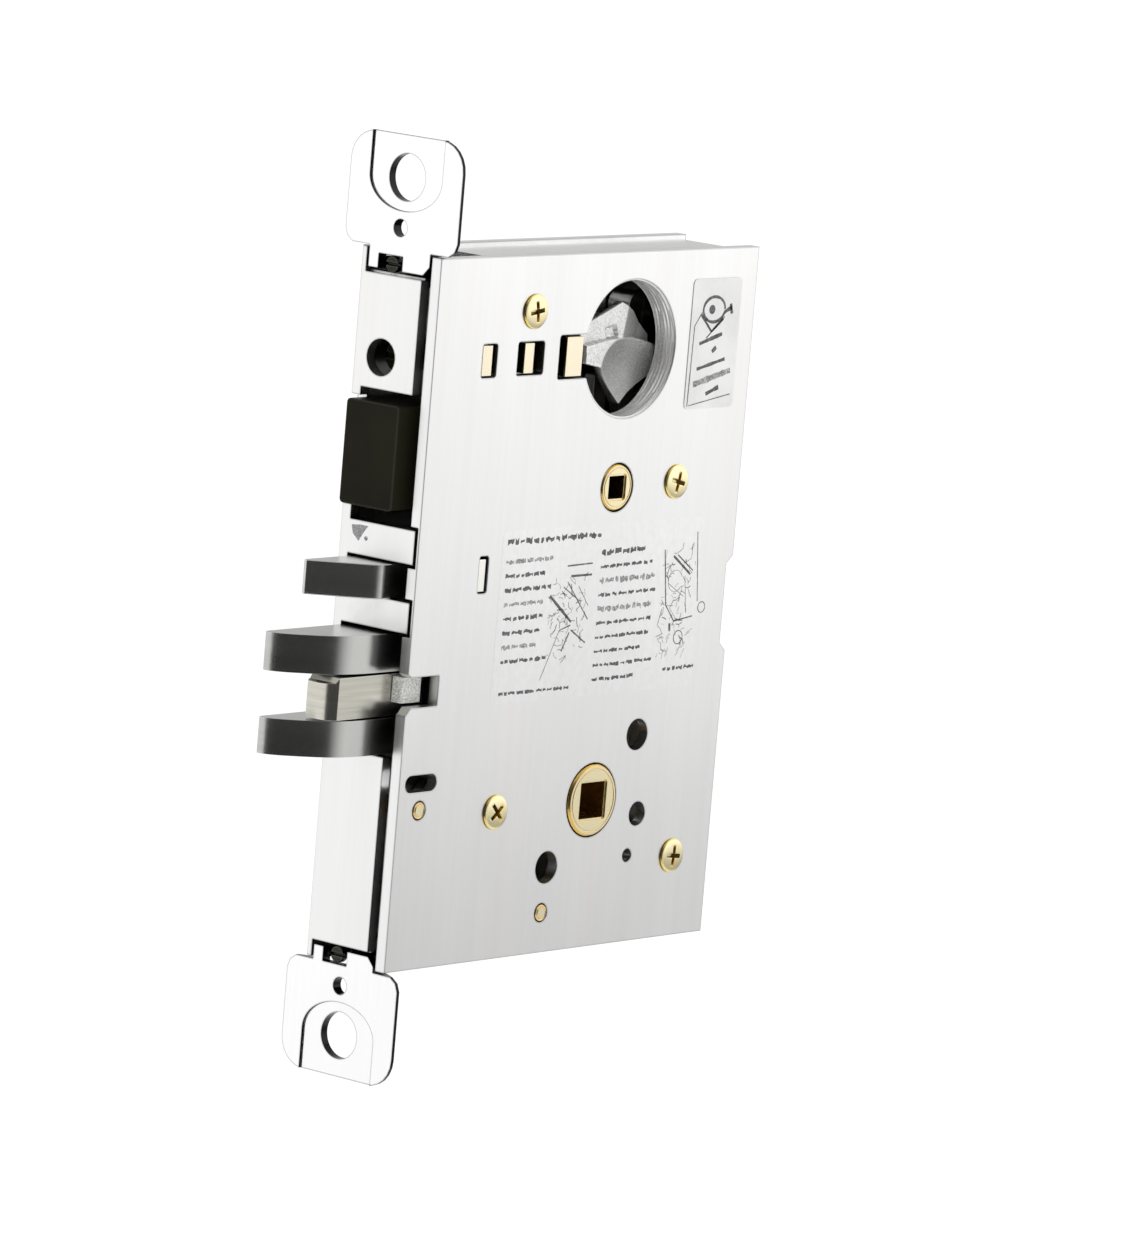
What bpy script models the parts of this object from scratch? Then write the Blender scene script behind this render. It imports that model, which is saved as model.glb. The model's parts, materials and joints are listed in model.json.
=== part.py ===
"""Mortise lock body: sheet-steel case, front tabs, deadbolt, three-piece latch, guard bolt,
lever hubs, thumbturn hub, cylinder lever and cylinder clamp.

X runs from the front into the door, Y across the thickness, Z up.
The origin is the centre of the case's front face.
"""
import math
import bpy
import bmesh
from mathutils import Matrix, Vector

MM = 0.001

# ---- case -------------------------------------------------------------------
CASE_THICK = 23.8
CASE_DEPTH = 106.0
CASE_TOP = 76.8
SHEET = 2.66
GAP = 0.3
PLATE_IN = CASE_THICK / 2 - SHEET          # inner face of either side plate
PLATE_OUT = CASE_THICK / 2
WALL_EDGE = PLATE_IN - 0.34                # near edge of the bent walls
REAR_WALL = 101.0
END_WALL = 73.2
NOTCH_Z = (-11.5, 7.2)
NOTCH_DEPTH = 2.0

# ---- front wall -------------------------------------------------------------
FRONT_TOP = 71.5
FRONT_BOTTOM = -73.1
FRONT_EDGE = -6.7
FINGER_END = -10.6
STRIP = 8.0
DEAD_OPEN = (18.5, 47.0)
DEAD_OPEN_FAR = (21.6, 45.1)
GUARD_OPEN = (3.0, 11.2)
LATCH_OPEN = (-30.9, -3.6)
LATCH_STRIP = 8.25

# ---- front tabs -------------------------------------------------------------
TAB_HALF = 15.9
TAB_END = 101.6
TAB_THICK = 2.5
TAB_HOLE_Z = 92.6
TAB_HOLE_R = 5.0
TAB_TAP_Z = 81.8
TAB_TAP_R = 1.9
TAB_PIVOT_X = 8.0

# ---- centres on the side plates, as (x, z) ----------------------------------
CYLINDER = (64.5, 55.5)
CYLINDER_R = 15.25
THUMB = (63.9, 25.1)
THUMB_R = 5.15
LEVER = (64.1, -44.0)
LEVER_R = 8.0
SPINDLE = 8.0
THUMB_SQUARE = 5.0
HOLE_A = (77.95, -30.4, 3.5)
HOLE_B = (80.2, -48.25, 2.7)
HOLE_C = (77.9, -57.4, 1.5)
HOLE_D = (50.75, -57.9, 3.58)
SCREWS = {
    "upper": (31.7, 64.7),
    "rear": (83.9, 25.5),
    "lower": (31.9, -44.2),
    "corner": (93.2, -58.6),
}
PINS = {"front": (7.0, -42.0), "low": (50.15, -67.9)}
PIN_R = 1.85
SCREW_R = 3.8
SCREW_HEAD = 0.6

# ---- moving parts -----------------------------------------------------------
DEAD_THROW = 25.4
DEAD_HEAD_X = (-3.3, 38.0)
DEAD_HEAD_Z = (22.1, 44.6)
DEAD_HEAD_Y = (-6.1, 8.7)
TAIL_Y = (2.0, 5.0)
THUMB_ARM = 18.0
CYL_PIVOT = (84.0, 62.0)
CYL_ARM = 25.4
BLOCK_FACE = -5.4
BLOCK_BACK = -2.7
LATCH_THROW = 19.0
LATCH_Z = (-30.4, -4.3)
TONGUE_Z = (-22.1, -13.0)
HEEL_Z = (-19.0, -13.4)
TONGUE_PIN = (7.0, 3.4)
ROD_Z = -11.5
HUB_ARM = 23.4
HUB_PROUD = 0.5
HUB_START = 24.0
GUARD_TRAVEL = 9.0
GUARD_Z = (3.3, 10.7)
DEADLOCK = (31.5, 16.5)
CLAMP_Z = (50.9, 58.0)
EAR_FACE = -11.6

COLOURS = {
    "steel": ((0.78, 0.78, 0.79), 0.32, 1.0),
    "bright": ((0.86, 0.86, 0.87), 0.22, 1.0),
    "stainless": ((0.55, 0.55, 0.56), 0.25, 1.0),
    "dark": ((0.10, 0.095, 0.08), 0.45, 1.0),
    "cast": ((0.62, 0.62, 0.61), 0.6, 0.8),
    "brass": ((0.86, 0.74, 0.48), 0.3, 1.0),
    "yellow": ((0.88, 0.66, 0.22), 0.3, 1.0),
    "spring": ((0.5, 0.5, 0.5), 0.35, 1.0),
    "paper": ((0.86, 0.86, 0.87), 0.7, 0.0),
}


def clear_scene():
    """Start from an empty scene."""
    for item in list(bpy.data.objects):
        bpy.data.objects.remove(item, do_unlink=True)


def finish_of(name, kind):
    """One Principled material of its own for the named part."""
    colour, rough, metal = COLOURS[kind]
    mat = bpy.data.materials.new(name + "_finish")
    mat.use_nodes = True
    shader = mat.node_tree.nodes["Principled BSDF"]
    shader.inputs["Base Color"].default_value = (*colour, 1.0)
    shader.inputs["Roughness"].default_value = rough
    shader.inputs["Metallic"].default_value = metal
    return mat


def prism(outline, axis, low, high, name="cutter"):
    """Extrude a closed outline along an axis; the outline is in the other two axes, in order."""
    bm = bmesh.new()
    order = {"x": lambda a, b, c: (c, a, b), "y": lambda a, b, c: (a, c, b), "z": lambda a, b, c: (a, b, c)}
    place = order[axis]
    ends = []
    for level in (low, high):
        ends.append([bm.verts.new(Vector(place(a, b, level)) * MM) for a, b in outline])
    bm.faces.new(ends[0])
    bm.faces.new(ends[1][::-1])
    count = len(outline)
    for i in range(count):
        j = (i + 1) % count
        bm.faces.new((ends[0][i], ends[1][i], ends[1][j], ends[0][j]))
    bmesh.ops.recalc_face_normals(bm, faces=bm.faces)
    mesh = bpy.data.meshes.new(name)
    bm.to_mesh(mesh)
    bm.free()
    item = bpy.data.objects.new(name, mesh)
    bpy.context.scene.collection.objects.link(item)
    return item


def box(x0, x1, y0, y1, z0, z1, name="cutter"):
    """Rectangular block."""
    return prism([(x0, y0), (x1, y0), (x1, y1), (x0, y1)], "z", z0, z1, name)


def arc(cx, cy, radius, start, end, count):
    """Points along an arc, angles in degrees."""
    points = []
    for i in range(count + 1):
        angle = math.radians(start + (end - start) * i / count)
        points.append((cx + radius * math.cos(angle), cy + radius * math.sin(angle)))
    return points


def circle(centre, radius, count=28):
    """Closed circle outline."""
    return arc(centre[0], centre[1], radius, 0, 360 - 360 / count, count - 1)


def rounded(a0, a1, b0, b1, radius, count=4):
    """Rectangle outline with rounded corners."""
    points = arc(a1 - radius, b0 + radius, radius, -90, 0, count)
    points += arc(a1 - radius, b1 - radius, radius, 0, 90, count)
    points += arc(a0 + radius, b1 - radius, radius, 90, 180, count)
    points += arc(a0 + radius, b0 + radius, radius, 180, 270, count)
    return points


def capsule(start, end, r0, r1=None, count=7):
    """Outline around two circles, for arms and levers."""
    r1 = r0 if r1 is None else r1
    lean = math.degrees(math.atan2(end[1] - start[1], end[0] - start[0]))
    points = arc(start[0], start[1], r0, lean + 90, lean + 270, count)
    points += arc(end[0], end[1], r1, lean - 90, lean + 90, count)
    return points


def rod(axis, centre, radius, low, high, name="cutter", count=28):
    """Round bar along an axis."""
    return prism(circle(centre, radius, count), axis, low, high, name)


def combine(target, tool, operation):
    """EXACT boolean, applied at once; the tool is removed."""
    mod = target.modifiers.new("boolean", "BOOLEAN")
    mod.operation = operation
    mod.solver = "EXACT"
    mod.object = tool
    bpy.context.view_layer.update()
    graph = bpy.context.evaluated_depsgraph_get()
    result = bpy.data.meshes.new_from_object(target.evaluated_get(graph), depsgraph=graph)
    old = target.data
    target.modifiers.clear()
    target.data = result
    bpy.data.meshes.remove(old)
    tool_mesh = tool.data
    bpy.data.objects.remove(tool, do_unlink=True)
    bpy.data.meshes.remove(tool_mesh)
    return target


def cut(target, *tools):
    """Take every tool away from the target."""
    for tool in tools:
        combine(target, tool, "DIFFERENCE")
    return target


def add(target, *tools):
    """Join every tool onto the target."""
    for tool in tools:
        combine(target, tool, "UNION")
    return target


def done(item, name, kind, origin=(0.0, 0.0, 0.0)):
    """Name the part, tidy its mesh, give it its finish and put its origin where it turns."""
    item.name = name
    item.data.name = name
    bm = bmesh.new()
    bm.from_mesh(item.data)
    bmesh.ops.remove_doubles(bm, verts=bm.verts, dist=0.000002)
    bmesh.ops.dissolve_limit(bm, angle_limit=0.0005, verts=bm.verts, edges=bm.edges)
    bmesh.ops.triangulate(bm, faces=bm.faces)
    bmesh.ops.recalc_face_normals(bm, faces=bm.faces)
    bm.to_mesh(item.data)
    bm.free()
    where = Vector(origin) * MM
    item.data.transform(Matrix.Translation(-where))
    item.location = where
    item.data.materials.clear()
    item.data.materials.append(finish_of(name, kind))
    return item


def coil(name, start, end, centre, radius, wire, turns, kind="spring"):
    """Compression spring along X, made as one closed tube."""
    bm = bmesh.new()
    steps = int(turns * 12)
    sides = 6
    rings = []
    for i in range(steps + 1):
        share = i / steps
        angle = 2 * math.pi * turns * share
        middle = Vector((
            start + wire + (end - start - 2 * wire) * share,
            centre[0] + radius * math.cos(angle),
            centre[1] + radius * math.sin(angle),
        ))
        slope = (end - start - 2 * wire) / (2 * math.pi * turns)
        along = Vector((slope, -radius * math.sin(angle), radius * math.cos(angle))).normalized()
        out = Vector((0.0, math.cos(angle), math.sin(angle)))
        side = along.cross(out).normalized()
        ring = []
        for k in range(sides):
            turn = 2 * math.pi * k / sides
            ring.append(bm.verts.new((middle + (out * math.cos(turn) + side * math.sin(turn)) * wire) * MM))
        rings.append(ring)
    for i in range(steps):
        for k in range(sides):
            n = (k + 1) % sides
            bm.faces.new((rings[i][k], rings[i][n], rings[i + 1][n], rings[i + 1][k]))
    bm.faces.new(rings[0][::-1])
    bm.faces.new(rings[-1])
    bmesh.ops.recalc_face_normals(bm, faces=bm.faces)
    mesh = bpy.data.meshes.new(name)
    bm.to_mesh(mesh)
    bm.free()
    item = bpy.data.objects.new(name, mesh)
    bpy.context.scene.collection.objects.link(item)
    return done(item, name, kind, (end, centre[0], centre[1]))


def square(centre, size):
    """Square outline about a centre."""
    half = size / 2
    cx, cz = centre
    return [(cx - half, cz - half), (cx + half, cz - half), (cx + half, cz + half), (cx - half, cz + half)]


def through_holes(low, high, lever_r, thumb_r):
    """Cutters shared by both side plates."""
    tools = [
        rod("y", THUMB, thumb_r, low, high),
        rod("y", LEVER, lever_r, low, high, count=36),
    ]
    for x, z, radius in (HOLE_A, HOLE_B, HOLE_C, HOLE_D):
        tools.append(rod("y", (x, z), radius, low, high, count=24))
    for x, z in PINS.values():
        tools.append(rod("y", (x, z), PIN_R + GAP, low, high, count=16))
    return tools


def plate_outline():
    """Side plate outline with the shallow notch in its rear edge."""
    low, high = NOTCH_Z
    back = CASE_DEPTH
    return [
        (0.0, -CASE_TOP), (back, -CASE_TOP), (back, low - 1.8), (back - NOTCH_DEPTH, low),
        (back - NOTCH_DEPTH, high - 1.0), (back, high + 0.8), (back, CASE_TOP), (0.0, CASE_TOP),
    ]


def front_outline():
    """Front wall seen from the front, as (y, z): panels, two fingers and the far strip."""
    strip = STRIP
    return [
        (PLATE_OUT, FRONT_BOTTOM), (PLATE_OUT, FRONT_TOP), (FRONT_EDGE, FRONT_TOP),
        (FRONT_EDGE, DEAD_OPEN[1]), (strip, DEAD_OPEN[1]), (strip, DEAD_OPEN[0]),
        (FINGER_END, DEAD_OPEN[0]), (FINGER_END, GUARD_OPEN[1]), (strip, GUARD_OPEN[1]),
        (strip, GUARD_OPEN[0]), (FINGER_END, GUARD_OPEN[0]), (FINGER_END, LATCH_OPEN[1]),
        (LATCH_STRIP, LATCH_OPEN[1]), (LATCH_STRIP, LATCH_OPEN[0]), (FRONT_EDGE, LATCH_OPEN[0]),
        (FRONT_EDGE, FRONT_BOTTOM),
    ]


def make_case():
    """Bent case: far side plate, front wall, rear wall, end walls and the two tab shelves."""
    shell = prism(plate_outline(), "y", PLATE_IN, PLATE_OUT)
    shell = add(shell, prism(front_outline(), "x", 0.0, SHEET))
    rear = box(REAR_WALL, REAR_WALL + SHEET, -WALL_EDGE, PLATE_IN + 0.6, -END_WALL - SHEET, END_WALL + SHEET)
    shell = add(shell, rear)
    for sign, shelf in ((1, 69.9), (-1, 71.4)):
        levels = sorted((sign * END_WALL, sign * (END_WALL + SHEET)))
        shell = add(shell, box(22.5, REAR_WALL + 1.0, -WALL_EDGE, PLATE_IN + 0.6, *levels))
        levels = sorted((sign * shelf, sign * (shelf + 2.0)))
        shell = add(shell, box(1.4, 20.0, -WALL_EDGE + 2.4, PLATE_IN + 0.6, *levels))
        levels = sorted((sign * (shelf + 1.5), sign * (shelf + 5.2)))
        shell = add(shell, box(3.2, 4.2, 0.4, 4.4, *levels))
        shell = cut(shell, rod("z", (TAB_PIVOT_X, 0.0), 2.5, sign * shelf - 6, sign * shelf + 6, count=20))
        shell = cut(shell, rod("x", (2.4, sign * (shelf + 3.9)), 1.4, 2.8, 8.0, count=16))
    corner = [(-1.0, PLATE_OUT + 1), (-1.0, PLATE_OUT - 2.6), (0.0, PLATE_OUT - 2.6)]
    corner += arc(2.6, PLATE_OUT - 2.6, 2.6, 174, 96, 5)
    corner += [(2.6, PLATE_OUT), (2.6, PLATE_OUT + 1)]
    shell = cut(shell, prism(corner, "z", -90, 90))
    shell = cut(shell, box(-1, 3.6, STRIP - 1, PLATE_OUT + 1, *DEAD_OPEN_FAR))
    shell = cut(shell, *through_holes(PLATE_IN - 2, PLATE_OUT + 2, LEVER_R + GAP, THUMB_R + GAP))
    for x, z in list(SCREWS.values()) + [CYL_PIVOT, DEADLOCK]:
        shell = cut(shell, rod("y", (x, z), 2.1, PLATE_IN - 2, PLATE_OUT + 2, count=16))
    shell = cut(shell, rod("x", (3.0, 53.8), 4.0, -2, SHEET + 2, count=24))
    return done(shell, "case_shell", "steel")


def make_cover():
    """Flat cover plate with its windows, holes, finger pockets and screw holes."""
    low, high = -PLATE_OUT, -PLATE_IN
    cover = prism(plate_outline(), "y", low, high)
    cover = cut(cover, *through_holes(low - 2, high + 2, LEVER_R + GAP, THUMB_R + GAP))
    cover = cut(cover, rod("y", CYLINDER, CYLINDER_R, low - 2, high + 2, count=48))
    windows = (
        rounded(15.7, 20.5, 50.8, 58.1, 0.5, 2),
        rounded(27.2, 35.8, 50.9, 58.2, 0.5, 2),
        rounded(40.85, 54.0, 49.6, 59.2, 0.5, 2),
        rounded(20.2, 23.2, 4.1, 12.2, 0.5, 2),
        rounded(1.95, 12.0, -37.95, -34.25, 1.8, 5),
        [(-1.0, -21.3), (0.4, -20.9), (1.6, -19.5), (10.1, -19.5), (10.1, -12.9), (1.2, -12.9), (-1.0, -11.6)],
    )
    for outline in windows:
        cover = cut(cover, prism(outline, "y", low - 2, high + 2))
    for bottom, top in ((GUARD_OPEN[1], DEAD_OPEN[0]), (LATCH_OPEN[1], GUARD_OPEN[0])):
        cover = cut(cover, box(-1, 3.7, low + 0.55, high + 2, bottom - 0.75, top + 0.75))
    for x, z in SCREWS.values():
        cover = cut(cover, rod("y", (x, z), 2.5, low - 2, high + 2, count=20))
    return done(cover, "case_cover", "steel")


def make_screws_and_posts():
    """Four pan-head screws with cross recesses, each in its own riveted post."""
    for key, (x, z) in SCREWS.items():
        face = -PLATE_OUT - GAP
        top = face - SCREW_HEAD
        head = rod("y", (x, z), SCREW_R, top, face, count=28)
        for vert in head.data.vertices:
            if vert.co.y < (top + 0.1) * MM:
                vert.co.x = x * MM + (vert.co.x - x * MM) * 0.85
                vert.co.z = z * MM + (vert.co.z - z * MM) * 0.85
        screw = add(head, rod("y", (x, z), 2.1, face - 0.3, -1.0, count=16))
        for wide, tall in ((2.6, 0.55), (0.55, 2.6)):
            slot = prism([(x - wide, z - tall), (x + wide, z - tall), (x + wide, z + tall), (x - wide, z + tall)],
                         "y", face - 4, top + 0.45)
            screw = cut(screw, slot)
        done(screw, "cover_screw_" + key, "yellow", (x, -PLATE_OUT, z))
        post = rod("y", (x, z), 3.9, -WALL_EDGE, PLATE_IN - GAP, count=24)
        post = add(post, rod("y", (x, z), 1.8, PLATE_IN - 1.0, PLATE_OUT, count=16))
        post = cut(post, rod("y", (x, z), 2.4, -PLATE_OUT, -0.4, count=16))
        done(post, "case_post_" + key, "bright", (x, 0.0, z))
    for key, (x, z) in PINS.items():
        pin = rod("y", (x, z), PIN_R, -PLATE_OUT - 0.15, PLATE_OUT + 0.1, count=18)
        done(pin, "cover_pin_" + key, "brass", (x, 0.0, z))


def make_collar():
    """Threaded collar ring behind the cover, open where the clamp reaches in."""
    low, high = -PLATE_IN + GAP, -6.4
    ring = rod("y", CYLINDER, CYLINDER_R + 2.1, low, high, count=48)
    ring = cut(ring, rod("y", CYLINDER, CYLINDER_R, low - 1, high + 1, count=48))
    ring = cut(ring, box(40, 54.6, low - 1, high + 1, 48.6, 60.0))
    done(ring, "cylinder_collar", "steel", (CYLINDER[0], 0.0, CYLINDER[1]))


def make_guides():
    """Two upright guide brackets that carry the bolt rods."""
    latch = box(50.0, 52.5, -WALL_EDGE, WALL_EDGE, -18.0, -4.6)
    latch = cut(latch, rod("x", (0.0, ROD_Z), 3.0, 48, 55, count=20))
    done(latch, "latch_guide", "steel", (50.0, 0.0, ROD_Z))
    guard = box(45.0, 47.2, -WALL_EDGE, WALL_EDGE, 1.8, 13.0)
    guard = cut(guard, rod("x", (0.5, 7.0), 1.9, 43, 49, count=16))
    done(guard, "guard_guide", "steel", (45.0, 0.5, 7.0))


def tab_outline(sign, inner):
    """Front tab seen from the front, as (y, z)."""
    edge = sign * (CASE_TOP + 0.5)
    side = TAB_HALF
    points = [(-side, sign * 80.2)]
    points += [(-side, sign * 95.1)]
    points += [(y, sign * z) for y, z in arc(-side + 6.5, 95.1, 6.5, 180, 90, 6)[1:]]
    points += [(y, sign * z) for y, z in arc(side - 6.5, 95.1, 6.5, 90, 0, 6)]
    points += [(side, sign * 80.2), (15.2, sign * 78.4), (13.6, edge), (8.6, edge)]
    points += [(8.6, sign * inner), (-6.9, sign * inner), (-8.6, sign * (inner + 1.9)), (-8.6, edge)]
    points += [(-13.6, edge), (-15.2, sign * 78.4)]
    return points


def make_tab(key, sign, inner, shelf):
    """Swivelling front tab with screw hole, tapped hole, pocket and a leg into the case."""
    tab = prism(tab_outline(sign, inner), "x", 0.0, TAB_THICK)
    levels = sorted((sign * (shelf + 2.85), sign * (shelf + 5.2)))
    leg = prism(rounded(1.5, 16.0, -7.5, 7.5, 1.5, 3), "z", *levels)
    tab = add(tab, leg)
    tab = cut(tab, rod("z", (TAB_PIVOT_X, 0.0), 2.5, sign * shelf - 12, sign * shelf + 12, count=20))
    bottom = TAB_HOLE_Z + 0.2
    pocket = [(-10.4, sign * 110), (10.4, sign * 110)]
    pocket += [(y, sign * z) for y, z in arc(0.0, bottom + 0.9, 10.4, 0, -30, 3)]
    pocket += [(4.6, sign * (bottom - 7.3)), (-4.6, sign * (bottom - 7.3))]
    pocket += [(y, sign * z) for y, z in arc(0.0, bottom + 0.9, 10.4, 210, 180, 3)]
    tab = cut(tab, prism(pocket, "x", -2.0, 0.9))
    tab = cut(tab, rod("x", (0.0, sign * TAB_HOLE_Z), TAB_HOLE_R, -2, 6, count=32))
    tab = cut(tab, rod("x", (0.4, sign * TAB_TAP_Z), TAB_TAP_R, -2, 6, count=20))
    levels = sorted((sign * (inner - 2), sign * (inner + 3.2)))
    relief = box(-2, 5.0, -1.0, 5.9, *levels)
    tab = cut(tab, relief)
    done(tab, "front_tab_" + key, "bright", (TAB_PIVOT_X, 0.0, sign * 74.0))
    low, high = sorted((sign * (shelf - 0.4), sign * (shelf + 6.3)))
    pin = rod("z", (TAB_PIVOT_X, 0.0), 2.2, low, high, count=20)
    levels = sorted((sign * (shelf + 5.5), sign * (shelf + 6.3)))
    pin = add(pin, rod("z", (TAB_PIVOT_X, 0.0), 3.9, *levels, count=24))
    done(pin, "tab_pivot_" + key, "steel", (TAB_PIVOT_X, 0.0, sign * 74.0))
    middle = (2.4, sign * (shelf + 3.9))
    screw = rod("x", middle, 1.1, 0.9, 4.7, count=14)
    screw = add(screw, rod("x", middle, 1.8, 0.5, 2.2, count=18))
    y, z = middle
    screw = cut(screw, box(-1, 1.3, y - 2.5, y + 2.5, z - 0.3, z + 0.3))
    done(screw, "bevel_screw_" + key, "bright", (0.5, middle[0], middle[1]))


def make_deadbolt():
    """Deadbolt head with its slotted tail plate and rivet, shown drawn back."""
    x0, x1 = DEAD_HEAD_X
    head = prism(rounded(DEAD_HEAD_Y[0], DEAD_HEAD_Y[1], DEAD_HEAD_Z[0], DEAD_HEAD_Z[1], 0.8, 2), "x", x0, x1)
    head = cut(head, box(27.7, x1 + 2, TAIL_Y[0] - GAP, TAIL_Y[1] + GAP, 32.3, 46))
    head = cut(head, rod("y", (33.0, 38.5), 1.9, -10, 12, count=16))
    done(head, "deadbolt_head", "dark")
    tail = box(28.0, 100.0, *TAIL_Y, 32.6, 43.0)
    tail = add(tail, box(70.0, 83.5, *TAIL_Y, 42.0, 47.6))
    tail = cut(tail, rod("y", (33.0, 38.5), 1.9, 0, 7, count=16))
    pin_x = THUMB[0] + THUMB_ARM * math.sin(math.radians(45))
    tail = cut(tail, prism(rounded(pin_x - 2.4, pin_x + 2.4, 35.5, 45.4, 2.0, 4), "y", 0, 7))
    lever_x = CYL_PIVOT[0] + CYL_ARM / 2
    slot = [(lever_x - 2.4, 60), (lever_x - 2.4, 34.3), (lever_x + 2.0, 34.3), (lever_x + 2.0, 60)]
    tail = cut(tail, prism(slot, "y", 0, 7))
    done(tail, "deadbolt_tail", "steel")
    rivet = rod("y", (33.0, 38.5), 1.6, DEAD_HEAD_Y[0] + 0.1, DEAD_HEAD_Y[1] - 0.1, count=16)
    done(rivet, "deadbolt_rivet", "steel")


def make_thumbturn():
    """Thumbturn hub with its square hole, and the arm that drives the deadbolt tail."""
    hub = rod("y", THUMB, 6.6, -WALL_EDGE, WALL_EDGE, count=28)
    hub = add(hub, rod("y", THUMB, THUMB_R, -PLATE_OUT - 0.1, PLATE_OUT + 0.1, count=28))
    hub = cut(hub, prism(square(THUMB, THUMB_SQUARE), "y", -20, 20))
    done(hub, "thumbturn_hub", "brass", (THUMB[0], 0.0, THUMB[1]))
    lean = math.radians(45)
    tip = (THUMB[0] + THUMB_ARM * math.sin(lean), THUMB[1] + THUMB_ARM * math.cos(lean))
    arm = prism(capsule(THUMB, tip, 9.0, 3.2), "y", 5.4, 8.4)
    arm = add(arm, rod("y", tip, 1.6, 3.7, 6.0, count=16))
    arm = cut(arm, rod("y", THUMB, 6.9, 0, 12, count=28))
    done(arm, "thumbturn_arm", "steel", (THUMB[0], 0.0, THUMB[1]))


def make_cylinder_lever():
    """Cast lever that a cylinder cam would push, on its stud at the rear of the cylinder hole."""
    lean = math.radians(30)
    px, pz = CYL_PIVOT
    tip = (px + CYL_ARM * math.sin(lean), pz - CYL_ARM * math.cos(lean))
    lever = prism(capsule(CYL_PIVOT, tip, 5.0, 3.0), "y", -2.4, 1.6)
    fan = [(px - 1.0, pz - 18.0), (px + 3.0, pz - 9.0), (px + 4.4, pz + 2.0), (px - 1.0, pz + 4.8)]
    fan += [(px - 4.6, pz + 1.0), (px - 5.4, pz - 6.0)]
    lever = add(lever, prism(fan, "y", -2.4, 1.2))
    lever = add(lever, rod("y", tip, 1.6, 1.0, 3.3, count=16))
    lever = cut(lever, rod("y", CYL_PIVOT, 2.4, -9, 5, count=16))
    done(lever, "cylinder_lever", "cast", (px, 0.0, pz))
    stud = rod("y", CYL_PIVOT, 2.1, -6.2, PLATE_IN - 0.6, count=16)
    stud = add(stud, rod("y", CYL_PIVOT, 3.6, 2.0, PLATE_IN - GAP, count=20))
    stud = add(stud, rod("y", CYL_PIVOT, 1.8, PLATE_IN - 1.0, PLATE_OUT, count=16))
    done(stud, "cylinder_lever_stud", "bright", (px, 0.0, pz))


def make_cylinder_block():
    """Cast plate behind the cylinder hole, in front of the lever, with a boss to the far side plate."""
    px, pz = CYL_PIVOT
    outline = [(px - 26.4, pz - 3.1), (px - 26.1, pz - 10.5), (px - 20.6, pz - 11.6), (px - 14.2, pz - 19.7)]
    outline += [(px - 2.7, pz - 13.3), (px - 3.6, pz - 5.0), (px - 10.2, pz + 0.5), (px - 14.4, pz + 2.6)]
    block = prism(outline, "y", BLOCK_FACE, BLOCK_BACK)
    boss = [(px - 24.0, pz - 9.0), (px - 24.0, pz - 4.5), (px - 16.0, pz - 0.4), (px - 14.4, pz - 2.4)]
    boss += [(px - 18.6, pz - 7.5)]
    block = add(block, prism(boss, "y", BLOCK_BACK - 0.5, PLATE_IN - GAP))
    done(block, "cylinder_block", "cast", (px - 10.0, 0.0, pz - 9.0))


def make_lever_hubs():
    """Near and far lever hubs, each with a square hole and an arm under the latch foot."""
    lean = math.radians(HUB_START)
    tip = (LEVER[0] - HUB_ARM * math.sin(lean), LEVER[1] + HUB_ARM * math.cos(lean))
    for key, side in (("near", -1), ("far", 1)):
        body = sorted((side * GAP, side * WALL_EDGE))
        ends = sorted((side * 1.0, side * (PLATE_OUT + HUB_PROUD)))
        arms = sorted((side * GAP, side * 2.9))
        hub = rod("y", LEVER, 11.0, *body, count=36)
        hub = add(hub, rod("y", LEVER, LEVER_R, *ends, count=36))
        hub = add(hub, prism(capsule(LEVER, tip, 6.5, 2.0), "y", *arms))
        hub = cut(hub, prism(square(LEVER, SPINDLE), "y", -20, 20))
        done(hub, "lever_hub_" + key, "brass", (LEVER[0], 0.0, LEVER[1]))
    ring = rod("y", LEVER, 13.4, -8.6, -6.8, count=32)
    ring = cut(ring, rod("y", LEVER, 11.4, -10, -5, count=32))
    ring = add(ring, box(76.4, 88.0, -8.6, -6.8, -45.0, -43.2))
    done(ring, "hub_return_spring", "spring", (LEVER[0], 0.0, LEVER[1]))


def latch_outline():
    """Latch horns seen from above, as (x, y): flat near side, curved bevel, round nose."""
    return [
        (22.0, -5.7), (22.0, 7.8), (-23.6, 7.8), (-24.5, 7.5), (-25.0, 6.8), (-25.1, 5.9), (-24.8, 4.9),
        (-24.0, 3.9), (-22.4, 2.3), (-19.6, -0.1), (-16.6, -2.4), (-13.8, -4.1), (-11.0, -5.2), (-8.0, -5.7),
    ]


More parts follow.
